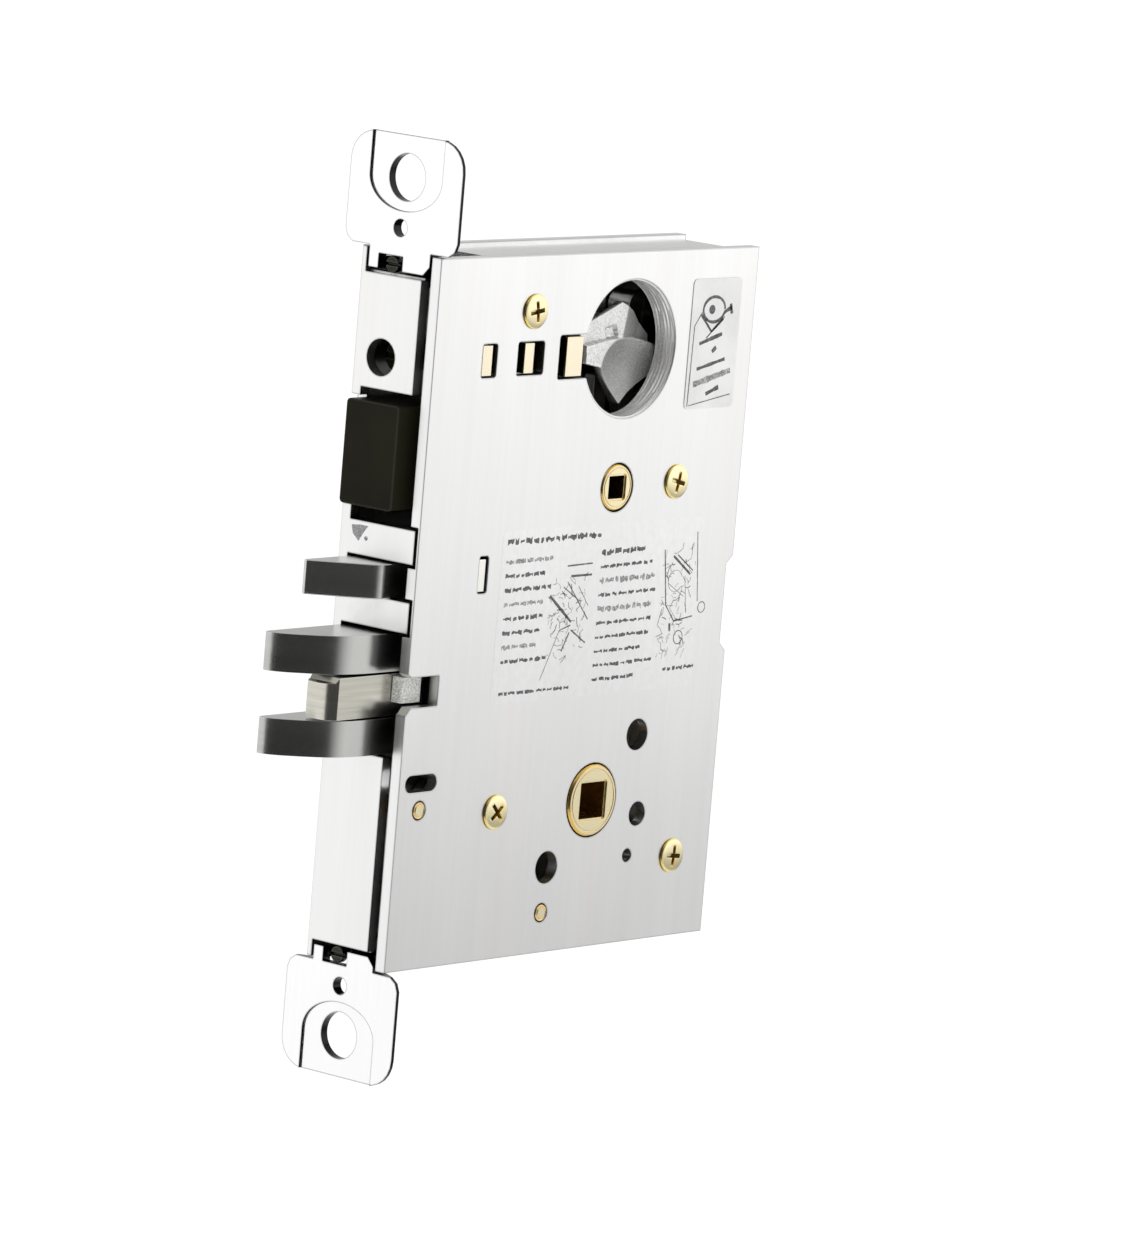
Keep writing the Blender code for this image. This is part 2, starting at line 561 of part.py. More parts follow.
def make_latch():
    """Two-horned latchbolt, pivoting tongue, pin, rod with foot, washer and spring."""
    latch = prism(latch_outline(), "z", *LATCH_Z)
    latch = cut(latch, box(-30, 12.0, -8, 10, TONGUE_Z[0] - 0.5, TONGUE_Z[1] + 0.45))
    latch = cut(latch, rod("z", TONGUE_PIN, 1.8, -35, 0, count=16))
    latch = cut(latch, rod("x", (0.0, ROD_Z), 2.8, 14.0, 25, count=20))
    done(latch, "latchbolt", "stainless")
    px, py = TONGUE_PIN
    outline = [
        (-14.7, -5.7), (-15.9, -4.9), (-16.7, -3.6), (-17.0, -2.2), (-17.0, 0.8), (-16.5, 1.7),
        (-15.6, 2.2), (-6.0, 2.2), (1.0, 4.4),
    ]
    outline += arc(px, py, 3.6, 135, 0, 8)[1:]
    outline += [(11.6, 1.0), (11.6, -5.7)]
    tongue = prism(outline[::-1], "z", *TONGUE_Z)
    tongue = add(tongue, prism(rounded(2.0, 8.4, -8.8, -5.0, 0.8, 2), "z", *HEEL_Z))
    tongue = cut(tongue, rod("z", TONGUE_PIN, 1.8, -35, 0, count=16))
    done(tongue, "latch_tongue", "bright", (px, py, (TONGUE_Z[0] + TONGUE_Z[1]) / 2))
    pin = rod("z", TONGUE_PIN, 1.5, LATCH_Z[0] + 0.3, LATCH_Z[1] - 0.3, count=16)
    done(pin, "latch_pin", "steel", (px, py, -17.5))
    tail = rod("x", (0.0, ROD_Z), 2.5, 14.3, 58.0, count=20)
    tail = add(tail, box(57.2, 60.8, -3.4, 3.4, -21.6, -7.6))
    done(tail, "latch_rod", "steel", (14.3, 0.0, ROD_Z))
    washer = rod("x", (0.0, ROD_Z), 4.3, 22.3, 23.3, count=24)
    washer = cut(washer, rod("x", (0.0, ROD_Z), 2.8, 20, 26, count=20))
    done(washer, "latch_washer", "steel", (22.3, 0.0, ROD_Z))
    coil("latch_spring", 23.6, 49.7, (0.0, ROD_Z), 3.5, 0.42, 7)


def make_guard():
    """Bevelled guard bolt with its tail, spring and the deadlock lever it swings."""
    outline = [
        (14.0, -5.5), (14.0, 7.0), (-14.4, 7.0), (-15.0, 6.8), (-15.2, 6.3), (-15.0, 5.8),
        (-4.9, -5.1), (-4.4, -5.4), (-3.9, -5.5),
    ]
    head = prism(outline, "z", *GUARD_Z)
    done(head, "guard_bolt", "stainless")
    tail = box(14.3, 30.0, -2.0, 3.0, 4.6, 9.6)
    tail = add(tail, rod("x", (0.5, 7.0), 1.5, 29.0, 48.0, count=16))
    tail = add(tail, rod("y", (27.0, 7.0), 1.1, 2.0, 7.4, count=14))
    done(tail, "guard_tail", "bright", (14.3, 0.5, 7.0))
    coil("guard_spring", 30.3, 44.7, (0.5, 7.0), 2.5, 0.35, 6)
    stop = box(20.4, 22.7, EAR_FACE, -7.0, 4.4, 11.5)
    stop = add(stop, box(18.0, 25.6, -PLATE_IN + GAP, -6.4, 2.6, 13.4))
    done(stop, "guard_stop", "bright", (21.4, -8.0, 8.0))
    px, pz = DEADLOCK
    lean = math.atan2(4.5, 9.5)
    low = (px - 13.0 * math.sin(lean), pz - 13.0 * math.cos(lean))
    lever = prism(capsule(DEADLOCK, low, 3.2, 3.0), "y", 4.9, 7.4)
    near = (px - 7.6 * math.sin(lean), pz - 7.6 * math.cos(lean))
    far = (px - 20.0 * math.sin(lean), pz - 20.0 * math.cos(lean))
    lever = cut(lever, prism(capsule(near, far, 1.65), "y", 3, 9))
    lever = cut(lever, rod("y", DEADLOCK, 1.9, 3, 9, count=16))
    done(lever, "deadlock_lever", "steel", (px, 0.0, pz))
    stud = rod("y", DEADLOCK, 1.6, 4.6, PLATE_OUT, count=16)
    done(stud, "deadlock_stud", "bright", (px, 0.0, pz))


def make_clamp():
    """Cylinder clamp bar with three ears in the cover windows, and its screw."""
    bar = box(12.0, 49.0, -5.4, 4.6, *CLAMP_Z)
    for x0, x1, low, high in ((16.1, 19.2, 51.2, 57.7), (29.8, 32.8, 51.3, 57.8), (43.6, 48.9, 50.1, 58.7)):
        bar = add(bar, box(x0, x1, EAR_FACE, -4.0, low, high))
    bar = cut(bar, rod("x", (3.0, 53.8), 2.3, 10.0, 19.0, count=16))
    done(bar, "clamp_bar", "yellow", (12.0, 3.0, 53.8))
    screw = rod("x", (3.0, 53.8), 3.5, 5.4, 8.6, count=24)
    screw = add(screw, rod("x", (3.0, 53.8), 2.0, 8.2, 17.5, count=16))
    screw = cut(screw, box(4, 6.6, -2.0, 8.0, 53.2, 54.4))
    done(screw, "clamp_screw", "steel", (0.0, 3.0, 53.8))


def make_label():
    """Thin rating label near the top rear corner of the cover."""
    face = -PLATE_OUT - 0.05
    label = prism(rounded(84.3, 100.9, 41.4, 70.2, 1.2, 3), "y", face - 0.12, face)
    done(label, "case_label", "paper", (92.6, face, 55.8))


clear_scene()
make_case()
make_cover()
make_screws_and_posts()
make_collar()
make_guides()
make_tab("top", 1, 72.6, 69.9)
make_tab("bottom", -1, 74.1, 71.4)
make_deadbolt()
make_thumbturn()
make_cylinder_lever()
make_cylinder_block()
make_lever_hubs()
make_latch()
make_guard()
make_clamp()
make_label()
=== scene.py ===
"""Looks of the mortise lock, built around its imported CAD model.

X runs from the front into the door, Y across the thickness and Z up.
Sizes and places are in millimetres; MM turns them into metres when a mesh is made.
"""
import json
import math
import random
import bmesh
import bpy
from mathutils import Matrix, Vector


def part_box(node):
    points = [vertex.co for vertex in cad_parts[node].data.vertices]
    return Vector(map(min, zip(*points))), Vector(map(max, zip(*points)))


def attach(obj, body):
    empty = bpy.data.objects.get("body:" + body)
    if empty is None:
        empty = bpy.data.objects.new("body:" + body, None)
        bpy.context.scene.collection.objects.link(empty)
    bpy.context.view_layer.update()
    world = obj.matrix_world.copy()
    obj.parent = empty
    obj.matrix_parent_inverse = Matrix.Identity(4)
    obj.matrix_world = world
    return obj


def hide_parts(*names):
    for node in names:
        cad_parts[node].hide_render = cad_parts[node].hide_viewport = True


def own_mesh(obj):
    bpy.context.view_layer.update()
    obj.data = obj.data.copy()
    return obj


MM = 0.001
SCATTER = random.Random(11)

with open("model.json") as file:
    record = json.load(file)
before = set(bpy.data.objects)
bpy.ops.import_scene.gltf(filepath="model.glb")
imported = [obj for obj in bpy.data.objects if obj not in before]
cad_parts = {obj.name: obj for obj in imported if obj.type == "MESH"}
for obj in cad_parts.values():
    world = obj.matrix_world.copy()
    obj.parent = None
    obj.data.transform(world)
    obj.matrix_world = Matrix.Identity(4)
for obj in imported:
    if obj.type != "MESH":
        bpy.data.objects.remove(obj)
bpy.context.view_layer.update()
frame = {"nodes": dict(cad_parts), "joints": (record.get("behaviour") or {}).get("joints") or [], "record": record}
nodes = frame["nodes"]
slot_of = {item["node"]: item["material_slot"] for item in frame["record"]["subparts"]}

# ---- camera and studio ------------------------------------------------------
CAMERA_AT = Vector((-1.3354, -1.1706, 0.2636))
CAMERA_HEADING = 39.90
CAMERA_PITCH = -8.391
CAMERA_ROLL = 4.78
CAMERA_LENS = 245.68
FLOOR_LEVEL = -0.60
FLOOR_REACH = 30.0


def link(item):
    """Put a new object into the scene."""
    bpy.context.scene.collection.objects.link(item)
    return item


def make_camera():
    """Camera at the photograph's viewing angle."""
    data = bpy.data.cameras.new("camera")
    data.lens = CAMERA_LENS
    data.sensor_width = 36.0
    data.sensor_fit = "AUTO"
    data.clip_start = 0.05
    data.clip_end = 100.0
    camera = link(bpy.data.objects.new("camera", data))
    heading = Matrix.Rotation(math.radians(CAMERA_HEADING - 90), 4, "Z")
    pitch = Matrix.Rotation(math.radians(90 + CAMERA_PITCH), 4, "X")
    roll = Matrix.Rotation(math.radians(CAMERA_ROLL), 4, "Z")
    camera.matrix_world = Matrix.Translation(CAMERA_AT) @ heading @ pitch @ roll
    bpy.context.scene.camera = camera


# ---- procedural finishes ----------------------------------------------------
AO_SAMPLES = 8
# How far from an outer edge the worn edge colour and the painted edge shade reach, in metres.
EDGE_REACH = 0.0004


class Finish:
    """Wires one procedural finish, node by node."""

    def __init__(self, name):
        self.mat = bpy.data.materials.new(name)
        self.mat.use_nodes = True
        self.tree = self.mat.node_tree
        self.tree.nodes.clear()
        self.place = self.node("ShaderNodeTexCoord").outputs["Object"]

    def node(self, kind, inputs=None, **settings):
        """New node with its settings; an input is a value or another node's socket."""
        made = self.tree.nodes.new(kind)
        for key, value in settings.items():
            setattr(made, key, value)
        for key, value in (inputs or {}).items():
            if isinstance(value, bpy.types.NodeSocket):
                self.tree.links.new(value, made.inputs[key])
            else:
                made.inputs[key].default_value = value
        return made

    def noise(self, scale, stretch=(1, 1, 1), detail=3.0, turn=(0, 0, 0)):
        """Noise value at that many cells per metre, stretched along an axis by a small factor there."""
        spot = self.node("ShaderNodeMapping", {"Vector": self.place, "Scale": stretch, "Rotation": turn})
        inputs = {"Vector": spot.outputs[0], "Scale": scale, "Detail": detail}
        return self.node("ShaderNodeTexNoise", inputs).outputs["Fac"]

    def span(self, value, low, high, start=0.0, end=1.0):
        """Map low..high of a value onto start..end, held at both ends."""
        inputs = {"Value": value, "From Min": low, "From Max": high, "To Min": start, "To Max": end}
        return self.node("ShaderNodeMapRange", inputs).outputs["Result"]

    def math(self, operation, a, b=0.0):
        """Arithmetic on two values."""
        return self.node("ShaderNodeMath", {0: a, 1: b}, operation=operation).outputs[0]

    def mix(self, share, a, b, blend="MIX"):
        """Mix of two colours."""
        made = self.node("ShaderNodeMix", data_type="RGBA", blend_type=blend)
        for key, value in ((0, share), (6, a), (7, b)):
            if isinstance(value, bpy.types.NodeSocket):
                self.tree.links.new(value, made.inputs[key])
            else:
                made.inputs[key].default_value = value
        return made.outputs[2]

    def part_of(self, vector, axis):
        """One component of a vector."""
        return self.node("ShaderNodeSeparateXYZ", {0: vector}).outputs[axis]

    def grey(self, level):
        """Grey colour of that level."""
        return self.node("ShaderNodeCombineXYZ", {0: level, 1: level, 2: level}).outputs[0]

    def hollow(self, reach):
        """1 where the surface is open, towards 0 deep in a hole or a joint between parts."""
        made = self.node("ShaderNodeAmbientOcclusion", {"Distance": reach}, samples=AO_SAMPLES)
        return made.outputs["AO"]

    def edge(self, reach):
        """1 on an outer edge or corner, 0 on a flat."""
        made = self.node("ShaderNodeAmbientOcclusion", {"Distance": reach}, samples=AO_SAMPLES,
                         inside=True, only_local=True)
        return self.span(made.outputs["AO"], 0.55, 0.95, 1.0, 0.0)

    def bump(self, height, depth, under=None):
        """Fine relief of that depth in metres."""
        inputs = {"Height": height, "Distance": depth, "Strength": 1.0}
        if under is not None:
            inputs["Normal"] = under
        return self.node("ShaderNodeBump", inputs).outputs["Normal"]

    def surface(self, **inputs):
        """Principled shader at the end of the tree."""
        named = {key.replace("_", " "): value for key, value in inputs.items()}
        shader = self.node("ShaderNodeBsdfPrincipled", named)
        end = self.node("ShaderNodeOutputMaterial")
        self.tree.links.new(shader.outputs[0], end.inputs["Surface"])
        return self.mat


def rgb(red, green, blue):
    """Colour with its alpha."""
    return (red, green, blue, 1.0)


def metal(name, colour, rough, brush=(1, 1, 1), streak=0.05, grain=0.000004, warm=0.0,
          blotch=0.04, wear=0.0, depth=0.012, dark=0.12, painted_flat_highlight=None, painted_inner_shade=None, sides=None, rim=0.0):
    """Plated or bare metal: brushed streaks, blotches, fine grain and worn edges, with painted shade in recesses.

    painted_flat_highlight is the paler colour painted as a highlight on faces square to Y; painted_inner_shade is
    (axis, place, darkest, lightest) and paints the metal dark and patchy past that place on the axis, as painted
    shade inside the case; sides is the share of colour kept by sheared faces that aren't square to X, painted
    shade on their bevels; rim is painted shade along the outer edges; dark is the share of colour left where
    painted shade falls deep in recesses and joints, within depth.
    """
    f = Finish(name)
    lines = f.noise(900.0, brush, 4.0)
    cloud = f.noise(35.0, (1, 1, 0.4), 2.0)
    fine = f.noise(9000.0, (1, 1, 1), 2.0)
    low = rgb(*[c * (1 - streak) for c in colour])
    high = rgb(*[min(1.0, c * (1 + streak)) for c in colour])
    tone = f.mix(f.span(lines, 0.3, 0.7), low, high)
    # Painted highlight: faces square to Y get the paler flat colour.
    if painted_flat_highlight:
        normal_y = f.part_of(f.node("ShaderNodeTexCoord").outputs["Normal"], 1)
        tone = f.mix(f.span(f.math("ABSOLUTE", normal_y), 0.80, 0.96), tone, rgb(*painted_flat_highlight))
    # Painted shade on bevels: sheared faces that aren't square to X keep only part of their colour.
    if sides is not None:
        normal_x = f.part_of(f.node("ShaderNodeTexCoord").outputs["Normal"], 0)
        bevel_shade = f.span(f.math("ABSOLUTE", normal_x), 0.85, 0.99, sides, 1.0)
        tone = f.mix(1.0, tone, f.grey(bevel_shade), "MULTIPLY")
    # Painted shade inside the case: past the given place on the axis the metal turns dark and patchy.
    if painted_inner_shade:
        axis, start, darkest, lightest = painted_inner_shade
        inside = f.span(f.part_of(f.place, axis), start, start + 0.0005)
        shade_patches = f.span(f.noise(700.0, detail=4.0), 0.45, 0.62, darkest, lightest)
        tone = f.mix(inside, tone, f.mix(1.0, tone, f.grey(shade_patches), "MULTIPLY"))
    cloud_low = rgb(1 - blotch, 1 - blotch, 1 - blotch)
    tone = f.mix(1.0, tone, f.mix(f.span(cloud, 0.35, 0.65), cloud_low, rgb(1, 1, 1)), "MULTIPLY")
    if warm:
        bands = f.noise(120.0, (1, 1, 0.06), 2.0, (0, 0.05, 0))
        share = f.math("MULTIPLY", f.span(bands, 0.56, 0.72), warm)
        tone = f.mix(share, tone, rgb(1.0, 0.9, 0.78), "MULTIPLY")
    gloss = f.span(f.noise(240.0, brush, 1.0), 0.3, 0.7, rough * 0.94, rough * 1.08)
    if wear:
        worn = f.math("MULTIPLY", f.edge(EDGE_REACH), wear)
        tone = f.mix(worn, tone, rgb(*[min(1.0, c * 1.25 + 0.1) for c in colour]))
    # Painted shade along the outer edges.
    if rim:
        tone = f.mix(1.0, tone, f.grey(f.span(f.edge(EDGE_REACH), 0.0, 1.0, 1.0, 1 - rim)), "MULTIPLY")
    # Painted shade: deep in recesses and joints the colour falls to dark times its own.
    open_share = f.span(f.hollow(depth), 0.05, 0.40)
    tone = f.mix(open_share, rgb(*[c * dark for c in colour]), tone)
    relief = f.math("ADD", f.math("MULTIPLY", lines, 0.6), f.math("MULTIPLY", fine, 0.4))
    normal = f.bump(relief, grain)
    return f.surface(Base_Color=tone, Metallic=1.0, Roughness=gloss, Normal=normal)


def cast_metal(name, colour, rough, pit=0.00006):
    """Die-cast part with a sandy grain, slightly polished high spots and painted shade in its recesses."""
    f = Finish(name)
    sand = f.noise(2600.0, detail=5.0)
    wave = f.noise(160.0, detail=2.0)
    tone = f.mix(f.span(sand, 0.3, 0.7), rgb(*[c * 0.62 for c in colour]), rgb(*colour))
    tone = f.mix(f.math("MULTIPLY", f.edge(0.0006), 0.7), tone, rgb(0.92, 0.92, 0.91))
    # Painted shade: deep in recesses and joints the colour falls to 0.12 of its own.
    open_share = f.span(f.hollow(0.005), 0.05, 0.45)
    tone = f.mix(open_share, rgb(*[c * 0.12 for c in colour]), tone)
    gloss = f.span(wave, 0.3, 0.7, rough * 0.8, rough * 1.2)
    return f.surface(Base_Color=tone, Metallic=0.72, Roughness=gloss, Normal=f.bump(sand, pit))


def tongue_metal(name):
    """Warm satin metal of the tongue, with painted shade in its recesses and a sandy cast heel where it stands
    proud towards the cover.
    """
    f = Finish(name)
    lines = f.noise(900.0, (0.05, 0.05, 1), 4.0)
    sand = f.noise(2400.0, detail=5.0)
    satin = f.mix(f.span(lines, 0.3, 0.7), rgb(0.56, 0.545, 0.475), rgb(0.66, 0.645, 0.575))
    satin = f.mix(f.math("MULTIPLY", f.edge(EDGE_REACH), 0.5), satin, rgb(0.86, 0.85, 0.80))
    # Painted shade: deep in recesses and joints the satin colour turns near-black.
    open_share = f.span(f.hollow(0.005), 0.05, 0.40)
    satin = f.mix(open_share, rgb(0.04, 0.04, 0.03), satin)
    rough_cast = f.mix(f.span(sand, 0.35, 0.65), rgb(0.42, 0.42, 0.39), rgb(0.86, 0.86, 0.83))
    proud = f.span(f.part_of(f.place, 1), -0.0060, -0.0058, 1.0, 0.0)
    tone = f.mix(proud, satin, rough_cast)
    relief = f.math("ADD", f.math("MULTIPLY", lines, 0.06), f.math("MULTIPLY", sand, proud))
    return f.surface(Base_Color=tone, Metallic=f.span(proud, 0.0, 1.0, 1.0, 0.15),
                     Roughness=f.span(proud, 0.0, 1.0, 0.25, 0.6), Normal=f.bump(relief, 0.00005))


def dark_coat(name):
    """Olive-black smooth coat of the deadbolt, with a painted highlight on faces looking along -Y."""
    f = Finish(name)
    cloud = f.noise(60.0, detail=3.0)
    fine = f.noise(5000.0, detail=3.0)
    tone = f.mix(f.span(cloud, 0.3, 0.7), rgb(0.008, 0.0075, 0.003), rgb(0.014, 0.013, 0.0055))
    # Painted highlight: faces looking along -Y get a lighter olive.
    normal_y = f.part_of(f.node("ShaderNodeTexCoord").outputs["Normal"], 1)
    tone = f.mix(f.span(normal_y, -0.9, -0.4, 1.0, 0.0), tone, rgb(0.020, 0.019, 0.011))
    tone = f.mix(f.math("MULTIPLY", f.edge(EDGE_REACH), 0.25), tone, rgb(0.20, 0.19, 0.16))
    gloss = f.span(cloud, 0.3, 0.7, 0.38, 0.5)
    return f.surface(Base_Color=tone, Metallic=0.0, Roughness=gloss, Specular_IOR_Level=0.07,
                     Normal=f.bump(fine, 0.000006))


def film(name):
    """Pale printed film of the label."""
    f = Finish(name)
    fibre = f.noise(1600.0, (1, 1, 0.5), 4.0)
    cloud = f.noise(90.0, detail=2.0)
    tone = f.mix(f.span(fibre, 0.3, 0.7), rgb(0.76, 0.76, 0.76), rgb(0.83, 0.83, 0.82))
    tone = f.mix(f.span(cloud, 0.35, 0.7), tone, rgb(0.90, 0.90, 0.89))
    return f.surface(Base_Color=tone, Metallic=0.0, Roughness=0.55, Normal=f.bump(fibre, 0.00001))


def ink(name, level=0.09):
    """Uneven dark print."""
    f = Finish(name)
    blot = f.noise(2200.0, detail=3.0)
    tone = f.mix(f.span(blot, 0.35, 0.7), rgb(level, level, level), rgb(level * 3, level * 3, level * 3))
    return f.surface(Base_Color=tone, Metallic=0.0, Roughness=0.7, Specular_IOR_Level=0.2,
                     Normal=f.bump(blot, 0.00001))


finishes = {
    "steel": metal("plated_steel", (0.86, 0.86, 0.855), 0.30, (1, 1, 0.02), 0.012, 0.000002, 0.10,
                   dark=0.03, rim=0.6),
    "bright": metal("bright_plate", (0.96, 0.96, 0.96), 0.20, (1, 1, 0.05), 0.01, 0.000002,
                    blotch=0.02, rim=0.6),
    "tab": metal("tab_plate", (0.97, 0.97, 0.97), 0.20, (1, 1, 0.05), 0.01, 0.000002, blotch=0.02,
                 painted_inner_shade=(0, 0.0026, 0.01, 0.25), sides=0.02, rim=0.6),
    "stop": metal("stop_plate", (0.93, 0.92, 0.87), 0.24, (1, 1, 0.05), 0.02, 0.000002,
                  painted_inner_shade=(1, -0.0113, 0.01, 0.06)),
    # Near-black steel with worn edges for the cylinder lever, tab pivots and bevel screws; its darkness is painted
    # shade for the tab notches and the inside of the case.
    "inner": metal("shaded_inner_steel", (0.05, 0.05, 0.042), 0.38, (1, 1, 1), 0.2, 0.000008,
                   blotch=0.6, wear=0.6),
    "tongue": tongue_metal("tongue_plate"),
    "stainless": metal("satin_stainless", (0.52, 0.52, 0.51), 0.22, (0.05, 0.05, 1), 0.06, 0.000004,
                       wear=0.3, painted_flat_highlight=(0.64, 0.64, 0.62), depth=0.004, dark=0.5),
    "guard": metal("guard_stainless", (0.62, 0.62, 0.60), 0.24, (0.05, 0.05, 1), 0.06, 0.000004, wear=0.1,
                   depth=0.004, dark=0.5),
    "dark": dark_coat("olive_black"),
    "black": dark_coat("blackened_screw"),
    "cast": cast_metal("cast_grey", (0.93, 0.93, 0.92), 0.33),
    "brass": metal("pale_brass", (0.70, 0.46, 0.12), 0.26, (1, 1, 1), 0.04, 0.0000015, wear=0.2,
                   painted_flat_highlight=(0.92, 0.82, 0.53)),
    "yellow": metal("yellow_zinc", (0.86, 0.62, 0.16), 0.22, (1, 1, 1), 0.05, 0.000003, blotch=0.10,
                    painted_flat_highlight=(0.95, 0.85, 0.52), depth=0.003, dark=0.10),
    "clamp": metal("clamp_zinc", (0.80, 0.62, 0.22), 0.26, (1, 1, 1), 0.05, 0.000003, blotch=0.08,
                   painted_flat_highlight=(0.93, 0.84, 0.64), depth=0.004, dark=0.05, painted_inner_shade=(1, -0.0114, 0.004, 0.05)),
    "spring": metal("spring_wire", (0.45, 0.45, 0.45), 0.30, (1, 1, 1), 0.05),
    "paper": film("label_film"),
    "thread": cast_metal("cut_thread", (0.90, 0.90, 0.89), 0.34, 0.00001),
    "sheet": metal("print_sheet", (0.87, 0.87, 0.865), 0.31, (1, 1, 0.6), 0.03, 0.000014, dark=0.03),
    "ink": ink("print", 0.07),
    "pale_ink": ink("pale_print", 0.19),
}
FINISH_OF = {
    "clamp_screw": "black", "clamp_bar": "clamp", "guard_stop": "stop", "guard_bolt": "guard",
    "latch_tongue": "tongue", "front_tab_top": "tab", "front_tab_bottom": "tab",
    "cylinder_lever": "inner", "tab_pivot_top": "inner", "tab_pivot_bottom": "inner",
    "bevel_screw_top": "inner", "bevel_screw_bottom": "inner",
}


def finish_for(node):
    """Key of a CAD node's finish: its own, or its material slot's."""
    return FINISH_OF.get(node, slot_of[node])


# ---- studio -----------------------------------------------------------------
def glow(name, start, end, low=-0.3, high=0.3, axis=2):
    """Studio card finish whose light goes from start to end between two places on an axis."""
    f = Finish(name)
    along = f.part_of(f.node("ShaderNodeNewGeometry").outputs["Position"], axis)
    level = f.span(along, low, high, start, end)
    light = f.node("ShaderNodeEmission", {"Color": rgb(1, 1, 1), "Strength": level})
    output = f.node("ShaderNodeOutputMaterial")
    f.tree.links.new(light.outputs[0], output.inputs["Surface"])
    return f.mat


def card(name, direction, distance, low, high, wide, mat):
    """Upright studio card seen only in reflections: a light panel, or a dark flag."""
    out = Vector((direction[0], direction[1], 0.0)).normalized()
    side = Vector((-out.y, out.x, 0.0))
    corners = []
    for across, level in ((-0.5, low), (0.5, low), (0.5, high), (-0.5, high)):
        corners.append(out * distance + side * across * wide + Vector((0, 0, level)))
    mesh = bpy.data.meshes.new(name)
    mesh.from_pydata(corners, [], [(0, 1, 2, 3)])
    mesh.materials.append(mat)
    item = link(bpy.data.objects.new(name, mesh))
    item.visible_camera = False
    item.visible_diffuse = False
    item.visible_shadow = False
    item.visible_transmission = False


def make_studio():
    """White room, pale floor, light panels around the lock and a dark flag by the camera with a soft edge."""
    scene = bpy.context.scene
    scene.view_settings.view_transform = "Standard"
    world = bpy.data.worlds.new("studio")
    world.use_nodes = True
    background = world.node_tree.nodes["Background"]
    background.inputs["Color"].default_value = rgb(1, 1, 1)
    background.inputs["Strength"].default_value = 0.8
    scene.world = world
    mesh = bpy.data.meshes.new("floor")
    r = FLOOR_REACH
    mesh.from_pydata([(-r, -r, 0), (r, -r, 0), (r, r, 0), (-r, r, 0)], [], [(0, 1, 2, 3)])
    floor = link(bpy.data.objects.new("floor", mesh))
    floor.location.z = FLOOR_LEVEL
    f = Finish("floor")
    f.surface(Base_Color=rgb(0.92, 0.92, 0.92), Roughness=0.9, Specular_IOR_Level=0.0,
              Emission_Color=rgb(1, 1, 1), Emission_Strength=0.32)
    mesh.materials.append(f.mat)
    cover_light = glow("cover_light", 0.45, 1.36, -0.34, 0.045)
    front_light = glow("front_light", 1.0, 1.12, -0.29, 0.0)
    flag_edge = glow("flag_edge", 0.05, 0.95, -0.12, 0.42, axis=0)
    card("cover_panel", (0.767, -0.642), 1.0, FLOOR_LEVEL, 1.2, 2.2, cover_light)
    card("front_panel", (-0.752, 0.659), 1.0, FLOOR_LEVEL, 1.2, 2.2, front_light)
    card("flag", (-0.69, -0.724), 1.1, -0.6, 0.95, 1.7, glow("flag_dark", 0.03, 0.06))
    card("flag_fade", (0.156, -0.988), 1.0, -0.6, 0.95, 0.573, flag_edge)
    card("back_panel", (0.767, 0.641), 1.6, FLOOR_LEVEL, 1.1, 2.0, glow("back_light", 0.62, 0.62))


# ---- carried-over CAD nodes -------------------------------------------------
# Points this near, in metres, are one point, and faces this nearly level are one face.
SAME_PLACE = 0.000001
FLAT_ANGLE = math.radians(0.4)


def smooth_group():
    """Geometry nodes that shade a mesh smooth."""
    group = bpy.data.node_groups.new("shade_smooth", "GeometryNodeTree")
    group.interface.new_socket("Geometry", in_out="INPUT", socket_type="NodeSocketGeometry")
    group.interface.new_socket("Geometry", in_out="OUTPUT", socket_type="NodeSocketGeometry")
    start = group.nodes.new("NodeGroupInput")
    shade = group.nodes.new("GeometryNodeSetShadeSmooth")
    end = group.nodes.new("NodeGroupOutput")
    group.links.new(start.outputs[0], shade.inputs[0])
    group.links.new(shade.outputs[0], end.inputs[0])
    return group


SMOOTH = smooth_group()


def refine(item, width=0.2, segments=3, angle=32.0, weld=True):
    """Round every real edge and shade the curved faces smooth, by modifiers only."""
    if weld:
        item.modifiers.new("weld", "WELD").merge_threshold = SAME_PLACE
        flat = item.modifiers.new("flat", "DECIMATE")
        flat.decimate_type = "DISSOLVE"
        flat.angle_limit = FLAT_ANGLE
    edges = item.modifiers.new("edges", "BEVEL")
    edges.width = width * MM
    edges.segments = segments
    edges.limit_method = "ANGLE"
    edges.angle_limit = math.radians(angle)
    item.modifiers.new("smooth", "NODES").node_group = SMOOTH
    normals = item.modifiers.new("normals", "WEIGHTED_NORMAL")
    normals.weight = 90
    normals.keep_sharp = True


# ---- mesh tools -------------------------------------------------------------
# Point from two coordinates across an axis, in order, and its level along that axis.
PLACE = {
    "x": lambda a, b, level: (level, a, b),
    "y": lambda a, b, level: (a, level, b),
    "z": lambda a, b, level: (a, b, level),
}
ROUND_STEPS = 64


def span_of(node):
    """Lowest and highest corner of a CAD node, in millimetres."""
    low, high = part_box(node)
    return low / MM, high / MM


def centre_of(node):
    """Centre of a CAD node's box, in millimetres."""
    low, high = span_of(node)
    return (low + high) / 2


def extrude(bm, outline, axis, low, high):
    """Add a closed outline, carried from low to high along an axis, to a mesh."""
    place = PLACE[axis]
    ends = [[bm.verts.new(Vector(place(a, b, level)) * MM) for a, b in outline] for level in (low, high)]
    bm.faces.new(ends[0])
    bm.faces.new(ends[1][::-1])
    for i in range(len(outline)):
        j = (i + 1) % len(outline)
        bm.faces.new((ends[0][i], ends[1][i], ends[1][j], ends[0][j]))


def bridge(bm, one, two):
    """Add the faces between two closed loops of as many points."""
    for i in range(len(one)):
        j = (i + 1) % len(one)
        bm.faces.new((one[i], one[j], two[j], two[i]))


